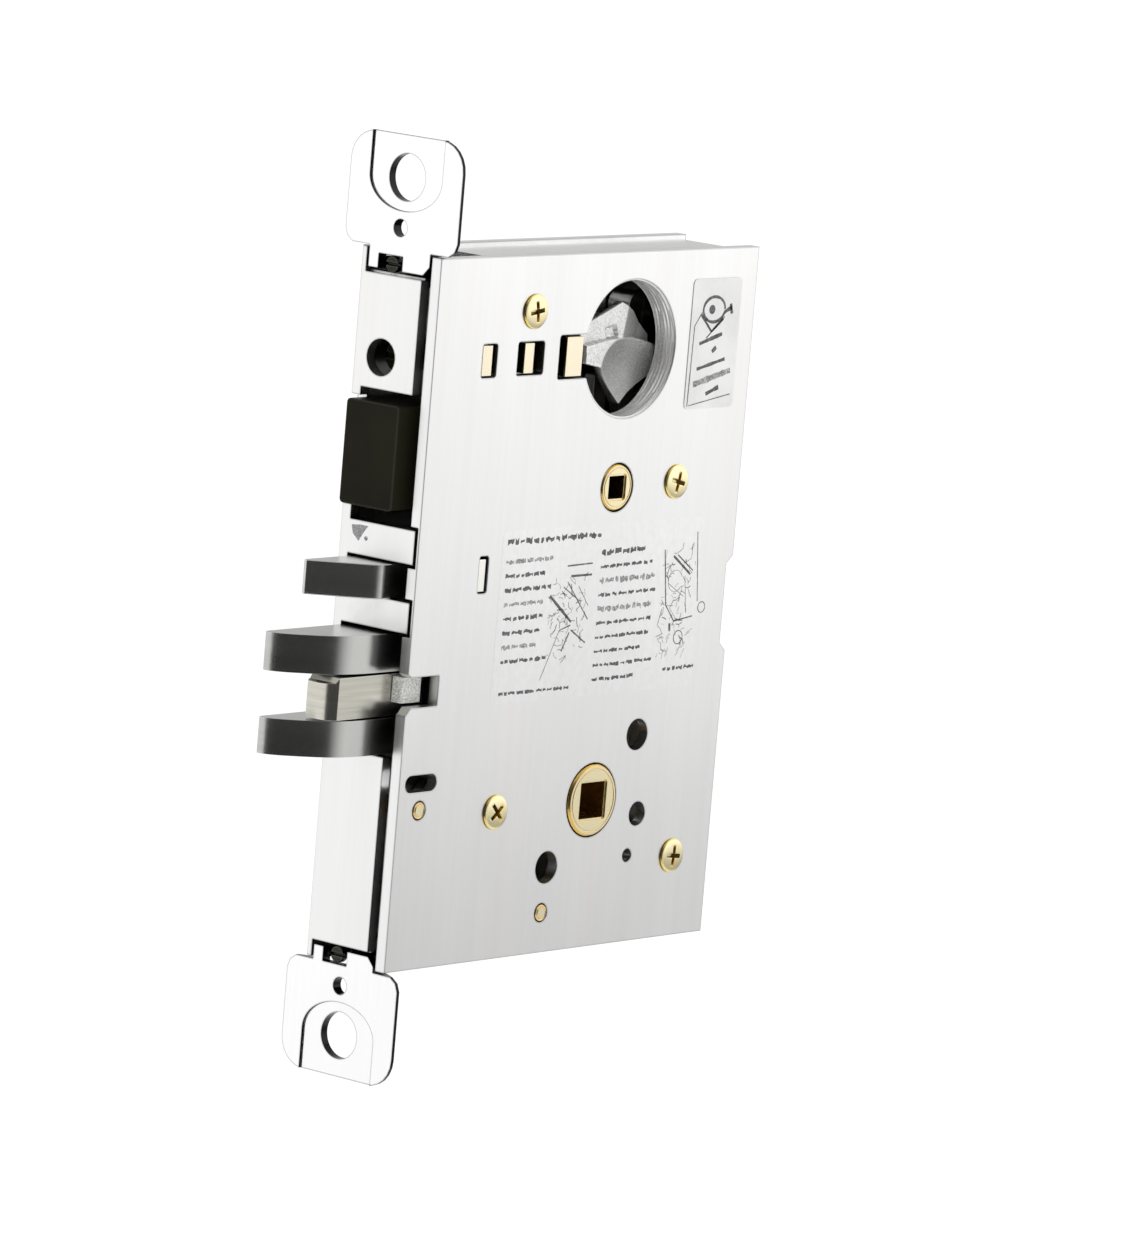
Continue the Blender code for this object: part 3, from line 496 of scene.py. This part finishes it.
def circle(bm, centre, radius, level):
    """Add a loop of points around a Y axis to a mesh; centre is the axis's X and Z."""
    points = arc(centre[0], centre[1], radius, 0, 360 - 360 / ROUND_STEPS, ROUND_STEPS - 1)
    return [bm.verts.new(Vector((a, level, b)) * MM) for a, b in points]


def prism(outline, axis, low, high):
    """Solid of an outline extruded along an axis; the outline is in the other two axes, in order."""
    bm = bmesh.new()
    extrude(bm, outline, axis, low, high)
    return solid(bm, "cutter")


def solid(bm, name):
    """Turn a bmesh into an object with outward faces."""
    bmesh.ops.recalc_face_normals(bm, faces=bm.faces)
    mesh = bpy.data.meshes.new(name)
    bm.to_mesh(mesh)
    bm.free()
    return link(bpy.data.objects.new(name, mesh))


def box(x0, x1, y0, y1, z0, z1):
    """Rectangular block."""
    return prism([(x0, y0), (x1, y0), (x1, y1), (x0, y1)], "z", z0, z1)


def arc(cx, cy, radius, start, end, count):
    """Points along an arc, angles in degrees."""
    points = []
    for i in range(count + 1):
        angle = math.radians(start + (end - start) * i / count)
        points.append((cx + radius * math.cos(angle), cy + radius * math.sin(angle)))
    return points


def rounded(a0, a1, b0, b1, radius, count=6):
    """Rectangle outline with rounded corners."""
    points = arc(a1 - radius, b0 + radius, radius, -90, 0, count)
    points += arc(a1 - radius, b1 - radius, radius, 0, 90, count)
    points += arc(a0 + radius, b1 - radius, radius, 90, 180, count)
    points += arc(a0 + radius, b0 + radius, radius, 180, 270, count)
    return points


def turned(profile, centre):
    """Solid turned about a Y axis; the profile is (radius, level) from axis to axis."""
    bm = bmesh.new()
    rings = []
    for radius, level in profile:
        if radius < 0.0001:
            rings.append([bm.verts.new(Vector((centre[0], level, centre[1])) * MM)])
        else:
            rings.append(circle(bm, centre, radius, level))
    for lower, upper in zip(rings, rings[1:]):
        if len(lower) == len(upper):
            bridge(bm, lower, upper)
            continue
        for i in range(ROUND_STEPS):
            j = (i + 1) % ROUND_STEPS
            if len(lower) == 1:
                bm.faces.new((lower[0], upper[i], upper[j]))
            else:
                bm.faces.new((lower[i], lower[j], upper[0]))
    return solid(bm, "cutter")


def loop_ring(profile, centre):
    """Ring of a closed (radius, level) profile turned about a Y axis."""
    bm = bmesh.new()
    loops = [circle(bm, centre, radius, level) for radius, level in profile]
    for one, two in zip(loops, loops[1:] + loops[:1]):
        bridge(bm, one, two)
    return solid(bm, "cutter")


def ring(centre, inner, outer, low, high):
    """Flat washer-shaped ring around a Y axis."""
    return loop_ring(((inner, low), (outer, low), (outer, high), (inner, high)), centre)


def joined_flats(mesh):
    """Bmesh of a mesh with doubled points merged and flat areas joined into one face each."""
    bm = bmesh.new()
    bm.from_mesh(mesh)
    bmesh.ops.remove_doubles(bm, verts=bm.verts, dist=SAME_PLACE)
    bmesh.ops.dissolve_limit(bm, angle_limit=FLAT_ANGLE, verts=bm.verts, edges=bm.edges)
    return bm


def copy_of(node):
    """New object with a clean copy of a CAD node's mesh, ready to be detailed."""
    return solid(joined_flats(nodes[node].data), node + "_piece")


def combine(target, tool, operation):
    """EXACT boolean, applied at once; the tool is removed."""
    mod = target.modifiers.new("boolean", "BOOLEAN")
    mod.operation = operation
    mod.solver = "EXACT"
    mod.object = tool
    bpy.context.view_layer.update()
    graph = bpy.context.evaluated_depsgraph_get()
    result = bpy.data.meshes.new_from_object(target.evaluated_get(graph), depsgraph=graph)
    target.modifiers.clear()
    target.data = result
    bpy.data.objects.remove(tool, do_unlink=True)
    return target


def cut(target, *tools):
    """Take every tool away from the target."""
    for tool in tools:
        combine(target, tool, "DIFFERENCE")
    return target


def add(target, *tools):
    """Join every tool onto the target."""
    for tool in tools:
        combine(target, tool, "UNION")
    return target


def show(item, name, body, slot, replaced=(), finish=None):
    """Name a finished piece, give it its finish and body, and hide the CAD nodes it stands for."""
    item.name = name
    item.data.name = name
    item.data.materials.clear()
    item.data.materials.append(finishes[finish or slot])
    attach(item, body)
    if replaced:
        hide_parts(*replaced)
    return item


body_of = {}
for body, members in frame["record"]["behaviour"]["bodies"].items():
    for member in members:
        body_of[member] = body


# ---- detailed pieces --------------------------------------------------------
# Turn of each cover screw's cross recess, in degrees.
SCREW_TURN = {"upper": 8, "rear": -14, "lower": 40, "corner": -6}
COVER_FACE = span_of("case_cover")[0].y
COVER_BACK = span_of("case_cover")[1].y


def cross_recess(centre, top, turn):
    """Cutter for a cross recess: two blades that narrow and shorten with depth."""
    tools = []
    for quarter in (0, 90):
        bm = bmesh.new()
        rings = []
        for level, half_long, half_wide in ((-0.5, 2.45, 0.55), (0.25, 2.2, 0.46), (1.5, 0.9, 0.28)):
            corners = []
            lean = math.radians(turn + quarter)
            for end, side in ((-1, -1), (1, -1), (1, 1), (-1, 1)):
                a, b = end * half_long, side * half_wide
                x = centre[0] + a * math.cos(lean) - b * math.sin(lean)
                z = centre[1] + a * math.sin(lean) + b * math.cos(lean)
                corners.append(bm.verts.new(Vector((x, top + level, z)) * MM))
            rings.append(corners)
        bm.faces.new(rings[0])
        bm.faces.new(rings[-1][::-1])
        for lower, upper in zip(rings, rings[1:]):
            bridge(bm, lower, upper)
        tools.append(solid(bm, "cutter"))
    return tools


def make_cover_screws():
    """Domed pan-head screws with a rolled rim and a tapered cross recess."""
    for key, turn in SCREW_TURN.items():
        node = "cover_screw_" + key
        low, high = span_of(node)
        middle = centre_of(node)
        centre = (middle.x, middle.z)
        radius = (high.x - low.x) / 2
        top = low.y
        rim = top + 0.55
        seat = COVER_FACE - 0.08
        shank = 2.1
        profile = [(0.0, top)]
        for i in range(1, 9):
            lean = math.radians(i * 11.0)
            profile.append((radius * math.sin(lean), top + (rim - top) * (1 - math.cos(lean))))
        profile += [(radius, COVER_FACE - 0.2), (radius - 0.1, seat)]
        profile += [(shank, seat), (shank, high.y - 0.6), (1.5, high.y), (0.0, high.y)]
        screw = turned(profile, centre)
        screw = cut(screw, *cross_recess(centre, top, turn))
        refine(screw, 0.08, 2, 34)
        show(screw, node + "_head", "case", "yellow", [node])


def thread_loop(bm, centre, radii, level):
    """Add a loop of points around the cylinder hole's axis, one for each radius."""
    loop = []
    for i, radius in enumerate(radii):
        angle = 2 * math.pi * i / len(radii)
        spot = Vector((centre.x + radius * math.cos(angle), level, centre.z + radius * math.sin(angle)))
        loop.append(bm.verts.new(spot * MM))
    return loop


def make_thread_ring():
    """Collar with its screw thread, which lines the cylinder hole from the cover's face inwards."""
    low, high = span_of("cylinder_collar")
    middle = centre_of("cylinder_collar")
    wall = 2.1
    hole = (high.z - low.z) / 2 - wall
    centre = Vector((high.x - hole - wall, 0, middle.z))
    start = COVER_FACE + 0.35
    end = high.y
    pitch = 0.95
    around = 120
    rows = 36
    bm = bmesh.new()
    threads = []
    for row in range(rows + 1):
        level = start + (end - start) * row / rows
        radii = []
        for i in range(around):
            phase = (level / pitch + i / around) % 1.0
            crest = 1 - abs(2 * phase - 1)
            radii.append(hole - 0.10 - 0.26 * min(1.0, crest * 1.3))
        threads.append(thread_loop(bm, centre, radii, level))
    shoulder = COVER_BACK + 0.3
    skirt = [(hole - 0.03, start), (hole - 0.03, shoulder), (hole + wall, shoulder), (hole + wall, end)]
    outer = [thread_loop(bm, centre, [radius] * around, level) for radius, level in skirt]
    strips = [outer[0]] + threads + outer[:0:-1] + [outer[0]]
    for one, two in zip(strips, strips[1:]):
        bridge(bm, one, two)
    collar = solid(bm, "cylinder_thread")
    ear_left, ear_low, ear_high = 40.0, 49.4, 59.4
    collar = cut(collar, box(ear_left, low.x + 6.0, COVER_BACK - 3.5, end + 1, ear_low, ear_high))
    refine(collar, 0.05, 1, 60)
    show(collar, "cylinder_thread", "case", "steel", ["cylinder_collar"], "thread")


def smooth_line(points, steps=5):
    """Points on a smooth curve through the given ones."""
    ends = [points[0]] + points + [points[-1]]
    line = []
    for a, b, c, d in zip(ends, ends[1:], ends[2:], ends[3:]):
        for i in range(steps):
            t = i / steps
            spot = []
            for p, q, r, w in zip(a, b, c, d):
                spot.append(0.5 * (2 * q + (r - p) * t + (2 * p - 5 * q + 4 * r - w) * t * t
                                   + (3 * q - p - 3 * r + w) * t ** 3))
            line.append(tuple(spot))
    return line + [points[-1]]


def horned_latch():
    """Latch whose bevel runs in one smooth curve from the near flat round to the nose."""
    low, high = span_of("latchbolt")
    nose, near, far = low.x, low.y, high.y
    curve = [(26.0, 0.0), (20.8, 0.13), (17.0, 0.46), (13.9, 1.08), (11.2, 2.05), (8.6, 3.6), (5.8, 5.75),
             (3.2, 8.0), (1.6, 9.8), (0.6, 11.5), (0.35, 12.6), (0.75, 13.5)]
    outline = smooth_line([(nose + x, near + y) for x, y in curve])
    outline += [(high.x + 1, far), (high.x + 1, near)]
    piece = copy_of("latchbolt")
    return combine(piece, prism(outline, "z", low.z - 1, high.z + 1), "INTERSECT")


def guard_head():
    """Guard bolt with a well rounded corner between its bevel and its near side."""
    low, high = span_of("guard_bolt")
    near = low.y
    radius, round_end, round_start = 5.0, -2.35, -7.6
    corner = arc(round_end, near + radius, radius, 222.8, 270, 14)
    corner += [(round_end, near - 1.5), (round_start, near - 1.5)]
    return cut(copy_of("guard_bolt"), prism(corner, "z", low.z - 1, high.z + 1))


def notched_tongue():
    """Tongue with a small relief at the top of its nose."""
    low, high = span_of("latch_tongue")
    piece = copy_of("latch_tongue")
    relief = prism([(low.x - 1, high.z + 1), (low.x - 1, high.z - 1.5), (low.x + 1.6, high.z - 1.1),
                    (low.x + 3.0, high.z + 1)], "y", low.y - 1, high.y + 1)
    return cut(piece, relief)


def shaped_tab(node):
    """Front tab with a shallow round-bottomed pocket and the back of its outer edge chamfered away."""
    hole_inset, hole_radius = 9.0, 5.06
    pocket_half, pocket_rise, pocket_depth = 10.2, 7.2, 0.5
    plug_half, plug_long, plug_depth = 10.4, 16.3, 1.2
    rim_half, rim_end, chamfer = 12.5, 98.5, 1.7
    low, high = span_of(node)
    sign = 1 if high.z > 0 else -1
    outer = high.z if sign > 0 else low.z
    middle = outer - sign * hole_inset
    ends = sorted((outer, outer - sign * plug_long))
    plug = box(low.x, low.x + plug_depth, -plug_half, plug_half, *ends)
    pocket = [(-pocket_half, outer + sign), (pocket_half, outer + sign)]
    steps = 32
    for i in range(steps + 1):
        lean = math.radians(180 * i / steps)
        pocket.append((pocket_half * math.cos(lean), middle - sign * pocket_rise * math.sin(lean)))
    piece = cut(add(copy_of(node), plug), prism(pocket, "x", low.x - 2.0, low.x + pocket_depth))
    piece = cut(piece, prism(arc(0.0, middle, hole_radius, 0, 354, 59), "x", low.x - 2.0, low.x + 5.0))
    back = [m for m in frame["record"]["mounts"] if m["name"] == "tab_top_seat"][0]["pos_m"][0]
    bm = joined_flats(piece.data)
    rim = []
    for edge in bm.edges:
        on_back = all(abs(v.co.x - back) < 0.00002 for v in edge.verts)
        outside = all(abs(v.co.y) > rim_half * MM or abs(v.co.z) > rim_end * MM for v in edge.verts)
        if on_back and outside and edge.calc_face_angle(0.0) > 1.0:
            rim.append(edge)
    bmesh.ops.bevel(bm, geom=rim, offset=chamfer * MM, segments=1, affect="EDGES")
    bmesh.ops.recalc_face_normals(bm, faces=bm.faces)
    bm.to_mesh(piece.data)
    bm.free()
    return piece


def make_bolts():
    """Latch, tongue, guard, deadbolt and front tabs with softly rounded edges."""
    pieces = {
        "latchbolt": (horned_latch(), 0.5, 4), "latch_tongue": (notched_tongue(), 0.35, 3),
        "guard_bolt": (guard_head(), 0.25, 3), "deadbolt_head": (copy_of("deadbolt_head"), 0.5, 4),
        "front_tab_top": (shaped_tab("front_tab_top"), 0.26, 2),
        "front_tab_bottom": (shaped_tab("front_tab_bottom"), 0.26, 2),
    }
    for node, (piece, width, segments) in pieces.items():
        refine(piece, width, segments, 30, weld=False)
        show(piece, node + "_body", body_of[node], slot_of[node], [node], finish_for(node))


def cast_face(x, z):
    """Depth of the cast block's front below its highest level, in millimetres, from its top left corner."""
    lip = -8.6 + 0.9 * math.sin((x - 4.0) / 5.4) - 0.012 * max(0.0, x - 16.0) ** 2
    if z < lip:
        dish = 1 - ((x - 15.2) / 9.6) ** 2 - ((z + 14.6) / 7.4) ** 2
        return 0.15 + 2.0 * max(0.0, dish)
    ridge = 12.2 + 0.2 * (z + 8.6)
    slope = 0.17 * (ridge - x) if x < ridge else 0.26 * (x - ridge)
    depth = 0.5 + slope
    if abs((x - 9.2) + 0.3 * (z + 6.6)) < 1.5 and abs((z + 6.6) - 0.25 * (x - 9.2)) < 1.3:
        depth += 0.7
    return min(depth, 2.2)


def make_cast_block():
    """Cast block behind the cylinder hole: a dish below two sloping facets and a small hollow."""
    low, high = span_of("cylinder_block")
    step = 0.3
    columns = int((high.x - low.x + 2) / step)
    rows = int((high.z - low.z + 2) / step)
    bm = bmesh.new()
    front, back = [], []
    for i in range(columns + 1):
        x = low.x - 1 + i * step
        for j in range(rows + 1):
            z = low.z - 1 + j * step
            depth = cast_face(x - low.x, z - high.z)
            front.append(bm.verts.new(Vector((x, low.y + depth, z)) * MM))
            back.append(bm.verts.new(Vector((x, high.y + 1, z)) * MM))
    size = rows + 1
    for i in range(columns):
        for j in range(rows):
            cell = (i * size + j, (i + 1) * size + j, (i + 1) * size + j + 1, i * size + j + 1)
            bm.faces.new([front[k] for k in cell])
            bm.faces.new([back[k] for k in cell[::-1]])
    rim = [i * size for i in range(columns + 1)] + [columns * size + j for j in range(1, size)]
    rim += [i * size + rows for i in range(columns - 1, -1, -1)] + [j for j in range(rows - 1, 0, -1)]
    for one, two in zip(rim, rim[1:] + rim[:1]):
        bm.faces.new((front[one], back[one], back[two], front[two]))
    slab = solid(bm, "cutter")
    piece = combine(copy_of("cylinder_block"), slab, "INTERSECT")
    smooth = piece.modifiers.new("smooth", "NODES")
    smooth.node_group = SMOOTH
    show(piece, "cylinder_block_body", "case", "cast", ["cylinder_block"])


def make_pins():
    """Flush cover pins with a face inside a shallow groove; the face's pale colour is a painted highlight."""
    for key in ("front", "low"):
        node = "cover_pin_" + key
        low, high = span_of(node)
        middle = centre_of(node)
        radius = (high.x - low.x) / 2
        profile = [(0.0, low.y), (radius - 0.62, low.y), (radius - 0.52, low.y + 0.18),
                   (radius - 0.36, low.y + 0.18), (radius - 0.26, low.y + 0.04),
                   (radius - 0.12, low.y + 0.04), (radius, low.y + 0.2), (radius, high.y), (0.0, high.y)]
        pin = turned(profile, (middle.x, middle.z))
        refine(pin, 0.04, 2, 34)
        show(pin, node + "_body", "case", "brass", [node])


# ---- print ------------------------------------------------------------------
INK_DEPTH = 0.03


def stamp(bm, outline, face, axis="y"):
    """Add one closed inked shape to a mesh, a hair proud of a face that looks along the axis's low side."""
    extrude(bm, outline, axis, face - INK_DEPTH, face + INK_DEPTH / 2)


def stroke(bm, points, width, face):
    """Inked line of uneven width through the points."""
    left, right = [], []
    for i, (x, z) in enumerate(points):
        before = points[max(0, i - 1)]
        after = points[min(len(points) - 1, i + 1)]
        along = Vector((after[0] - before[0], after[1] - before[1])).normalized()
        half = width * SCATTER.uniform(0.40, 0.60)
        left.append((x - along.y * half, z + along.x * half))
        right.append((x + along.y * half, z - along.x * half))
    stamp(bm, left + right[::-1], face)


def line(start, end, step=0.8):
    """Points along a straight line."""
    count = max(2, int((Vector(end) - Vector(start)).length / step))
    return [tuple(Vector(start).lerp(Vector(end), i / count)) for i in range(count + 1)]


def drawing(bm, lines, left, top, face):
    """Inked straight lines, each (start, end, width), placed from the drawing's top left corner."""
    for a, b, width in lines:
        stroke(bm, line((left + a[0], top + a[1]), (left + b[0], top + b[1])), width, face)


def smudge_row(bm, start, length, level, half, face, rise=0.0):
    """Row of blurred dashes, like print too small to read; rise is its slope."""
    along = 0.0
    while along < length - 0.8:
        end = min(along + SCATTER.uniform(0.9, 3.4), length)
        count = max(2, int((end - along) / 0.45))
        top, bottom = [], []
        for i in range(count + 1):
            x = along + (end - along) * i / count
            z = level + rise * x
            top.append((start + x, z + half * SCATTER.uniform(0.15, 1.0)))
            bottom.append((start + x, z - half * SCATTER.uniform(0.15, 1.0)))
        stamp(bm, top + bottom[::-1], face)
        along = end + SCATTER.uniform(0.3, 0.75)


def scribble(bm, x0, x1, z0, z1, count, face):
    """Short fine strokes at every angle, like the shading of a small drawing."""
    for _ in range(count):
        lean = SCATTER.uniform(0.0, math.pi)
        reach = Vector((math.cos(lean), math.sin(lean))) * SCATTER.uniform(0.4, 1.3)
        spot = Vector((SCATTER.uniform(x0, x1), SCATTER.uniform(z0, z1)))
        bend = Vector((-reach.y, reach.x)) * SCATTER.uniform(-0.5, 0.5)
        points = line(spot - reach, spot + bend, 0.4) + line(spot + bend, spot + reach, 0.4)[1:]
        stroke(bm, points, SCATTER.uniform(0.10, 0.22), face)


def make_cover_print():
    """Generic instruction print on a thin clear sheet: columns of unreadable rows and two line drawings."""
    top = span_of("thumbturn_hub")[0].z - 3.6
    left = span_of("guard_stop")[1].x + 3.4
    pitch = 3.12
    face = COVER_FACE
    edge = rounded(left - 1.6, left + 66.0, top - 35.4, top + 2.4, 1.5)
    sheet = prism(edge, "y", face - INK_DEPTH / 2, face + INK_DEPTH / 2)
    show(sheet, "cover_print_sheet", "case", "paper", (), "sheet")
    dark, pale = bmesh.new(), bmesh.new()
    smudge_row(dark, left, 31.0, top, 0.85, face)
    for row in range(8):
        bm = dark if row % 3 else pale
        length = SCATTER.uniform(10.5, 15.5)
        smudge_row(bm, left + 0.1 * row, length, top - 4.4 - pitch * row, 0.62, face, 0.01)
    smudge_row(dark, left + 0.9, 24.5, top - 33.2, 0.5, face)
    second = left + 31.7
    for row in range(10):
        bm = pale if row in (2, 4) else dark
        half = 0.85 if row in (0, 2, 4) else 0.55
        smudge_row(bm, second, SCATTER.uniform(13.5, 20.5), top - 4.0 - pitch * row, half, face, 0.015)
    middle = left + 15.4
    middle_lines = (((5.1, -6.3), (13.5, -6.1), 0.32), ((6.6, -8.6), (13.5, -8.6), 0.5),
                    ((0.0, -12.6), (7.7, -18.7), 0.62), ((5.6, -9.8), (13.2, -18.4), 0.25),
                    ((7.6, -19.4), (4.0, -20.4), 0.3), ((4.0, -20.4), (-1.2, -31.0), 0.16),
                    ((7.9, -20.5), (13.0, -23.6), 0.34), ((7.4, -21.0), (5.2, -25.0), 0.36),
                    ((4.4, -10.9), (8.6, -13.4), 0.25), ((9.4, -11.0), (13.0, -15.4), 0.16))
    drawing(dark, middle_lines, middle, top, face)
    right = left + 53.2
    right_lines = (((0.0, -4.4), (1.8, -17.0), 0.34), ((10.8, -1.0), (12.6, -16.6), 0.24),
                   ((3.2, -6.0), (9.4, -10.4), 0.5), ((4.6, -5.8), (10.2, -9.6), 0.3),
                   ((1.9, -17.0), (5.0, -20.6), 0.3), ((5.0, -20.6), (11.2, -19.8), 0.3),
                   ((3.6, -21.0), (3.8, -22.8), 0.6), ((2.0, -12.0), (7.6, -15.2), 0.14),
                   ((7.6, -10.6), (8.9, -19.0), 0.16), ((0.6, -17.6), (-0.6, -21.4), 0.16))
    drawing(dark, right_lines, right, top, face)
    scribble(pale, middle, middle + 12.5, top - 27.0, top - 8.5, 60, face)
    scribble(dark, middle + 1.0, middle + 11.5, top - 24.0, top - 11.0, 14, face)
    scribble(pale, right, right + 11.0, top - 28.0, top - 4.0, 70, face)
    scribble(dark, right + 1.5, right + 9.5, top - 26.0, top - 7.0, 16, face)
    stroke(dark, arc(right + 14.2, top - 18.0, 1.2, 0, 355, 18), 0.2, face)
    stroke(dark, arc(right + 6.9, top - 24.3, 1.5, 0, 355, 18), 0.24, face)
    stroke(pale, arc(right + 4.4, top - 11.6, 2.4, 20, 300, 16), 0.16, face)
    smudge_row(dark, right + 2.5, 11.4, top - 31.2, 0.6, face, 0.02)
    show(solid(dark, "print"), "cover_print", "case", "paper", (), "ink")
    show(solid(pale, "print"), "cover_print_pale", "case", "paper", (), "pale_ink")


def make_label_print():
    """Generic emblem ring with bars below it, and a thin frame line, on the label."""
    low, high = span_of("case_label")
    face = low.y
    dark, pale = bmesh.new(), bmesh.new()
    left, top = low.x, high.z
    oval = [(left + 7.6 + 3.7 * math.cos(math.radians(a)), top - 6.9 + 2.8 * math.sin(math.radians(a)))
            for a in range(0, 356, 12)]
    stroke(dark, oval, 0.62, face)
    stamp(dark, arc(left + 6.9, top - 6.9, 1.05, 0, 330, 9), face)
    lines = (((3.4, -8.0), (7.2, -11.8), 0.6), ((7.2, -11.8), (11.0, -9.0), 0.6),
             ((11.2, -7.6), (13.6, -6.6), 0.9), ((13.2, -5.8), (13.8, -8.0), 0.9),
             ((3.4, -14.4), (11.0, -12.4), 0.85), ((8.0, -16.3), (9.3, -15.3), 0.9),
             ((3.2, -20.0), (12.6, -18.0), 0.72), ((7.0, -25.6), (11.2, -24.2), 0.95),
             ((1.4, -28.0), (15.4, -25.9), 0.2), ((1.3, -10.4), (0.9, -28.2), 0.26),
             ((1.3, -10.4), (3.6, -7.4), 0.22), ((11.4, -8.6), (5.6, -13.2), 0.3))
    drawing(dark, lines, left, top, face)
    stroke(pale, line((left + 2.4, top - 23.4), (left + 14.8, top - 20.6)), 1.3, face)
    show(solid(dark, "print"), "label_print", "case", "paper", (), "ink")
    show(solid(pale, "print"), "label_print_pale", "case", "paper", (), "pale_ink")


def make_finger_mark():
    """Small grey rub mark and dot on the upper finger's front."""
    low = span_of("deadbolt_head")[0].z
    bm = bmesh.new()
    mark = [(7.4, low - 4.8), (5.2, low - 4.5), (2.7, low - 4.5), (3.6, low - 5.6), (5.2, low - 8.0),
            (6.9, low - 6.6)]
    stamp(bm, mark, 0.0, "x")
    stamp(bm, arc(3.1, low - 7.2, 0.5, 0, 320, 8), 0.0, "x")
    show(solid(bm, "mark"), "finger_mark", "case", "steel", (), "pale_ink")


def make_hubs():
    """Lever and thumbturn hubs with a chamfered rim, a shallow groove and a broached square."""
    groove_size, recess = 0.14, 0.35
    shapes = (("lever_hub_near", 6.9, 0.5), ("lever_hub_far", 6.9, 0.5), ("thumbturn_hub", 4.35, 0.4))
    for node, groove, chamfer in shapes:
        low, high = span_of(node)
        piece = copy_of(node)
        sides = [-1, 1] if node == "thumbturn_hub" else [-1 if "near" in node else 1]
        joint = [j for j in frame["joints"] if j["child"] == body_of[node]][0]
        centre = (joint["pos_m"][0] / MM, joint["pos_m"][2] / MM)
        outer = 8.0 if "lever" in node else 5.15
        half = (4.0 if "lever" in node else 2.5) + 0.4
        for side in sides:
            face = low.y if side < 0 else high.y
            beyond = face + side
            levels = sorted((face - side * groove_size, beyond))
            piece = cut(piece, ring(centre, groove - groove_size, groove + groove_size, *levels))
            bevel = [(outer - chamfer, face + side * 0.01), (outer - chamfer, beyond), (outer + 1, beyond),
                     (outer + 1, face - side * chamfer), (outer + 0.01, face - side * chamfer)]
            piece = cut(piece, loop_ring(bevel, centre))
            levels = sorted((face - side * recess, beyond))
            outline = rounded(centre[0] - half, centre[0] + half, centre[1] - half, centre[1] + half, 0.7)
            piece = cut(piece, prism(outline, "y", *levels))
        refine(piece, 0.12, 2, 34, weld=False)
        show(piece, node + "_body", body_of[node], "brass", [node])


def make_springs():
    """Coil springs of fine round wire."""
    springs = (("latch_spring", "latch_slide", 0.42, 7), ("guard_spring", "guard_slide", 0.35, 6))
    for node, joint_name, wire, turns in springs:
        low, high = span_of(node)
        middle = centre_of(node)
        radius = (high.z - low.z) / 2 - wire
        curve = bpy.data.curves.new(node + "_wire", "CURVE")
        curve.dimensions = "3D"
        curve.bevel_depth = wire * MM
        curve.bevel_resolution = 4
        curve.use_fill_caps = True
        spline = curve.splines.new("POLY")
        steps = turns * 36
        spline.points.add(steps)
        for i in range(steps + 1):
            share = i / steps
            angle = 2 * math.pi * turns * share
            along = low.x + wire + (high.x - low.x - 2 * wire) * share
            across = middle.y + radius * math.cos(angle)
            level = middle.z + radius * math.sin(angle)
            spline.points[i].co = (*(Vector((along, across, level)) * MM), 1.0)
        shape = link(bpy.data.objects.new("wire", curve))
        bpy.context.view_layer.update()
        mesh = bpy.data.meshes.new_from_object(shape.evaluated_get(bpy.context.evaluated_depsgraph_get()))
        bpy.data.objects.remove(shape, do_unlink=True)
        coil = link(bpy.data.objects.new(node + "_coil", mesh))
        for face in mesh.polygons:
            face.use_smooth = True
        show(coil, node + "_coil", "case", "spring", [node])
        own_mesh(coil)


make_camera()
make_studio()
make_cover_screws()
make_thread_ring()
make_bolts()
make_cast_block()
make_hubs()
make_pins()
make_springs()
make_cover_print()
make_label_print()
make_finger_mark()
for node_name, item in nodes.items():
    refine(item)
    item.data.materials.clear()
    item.data.materials.append(finishes[finish_for(node_name)])
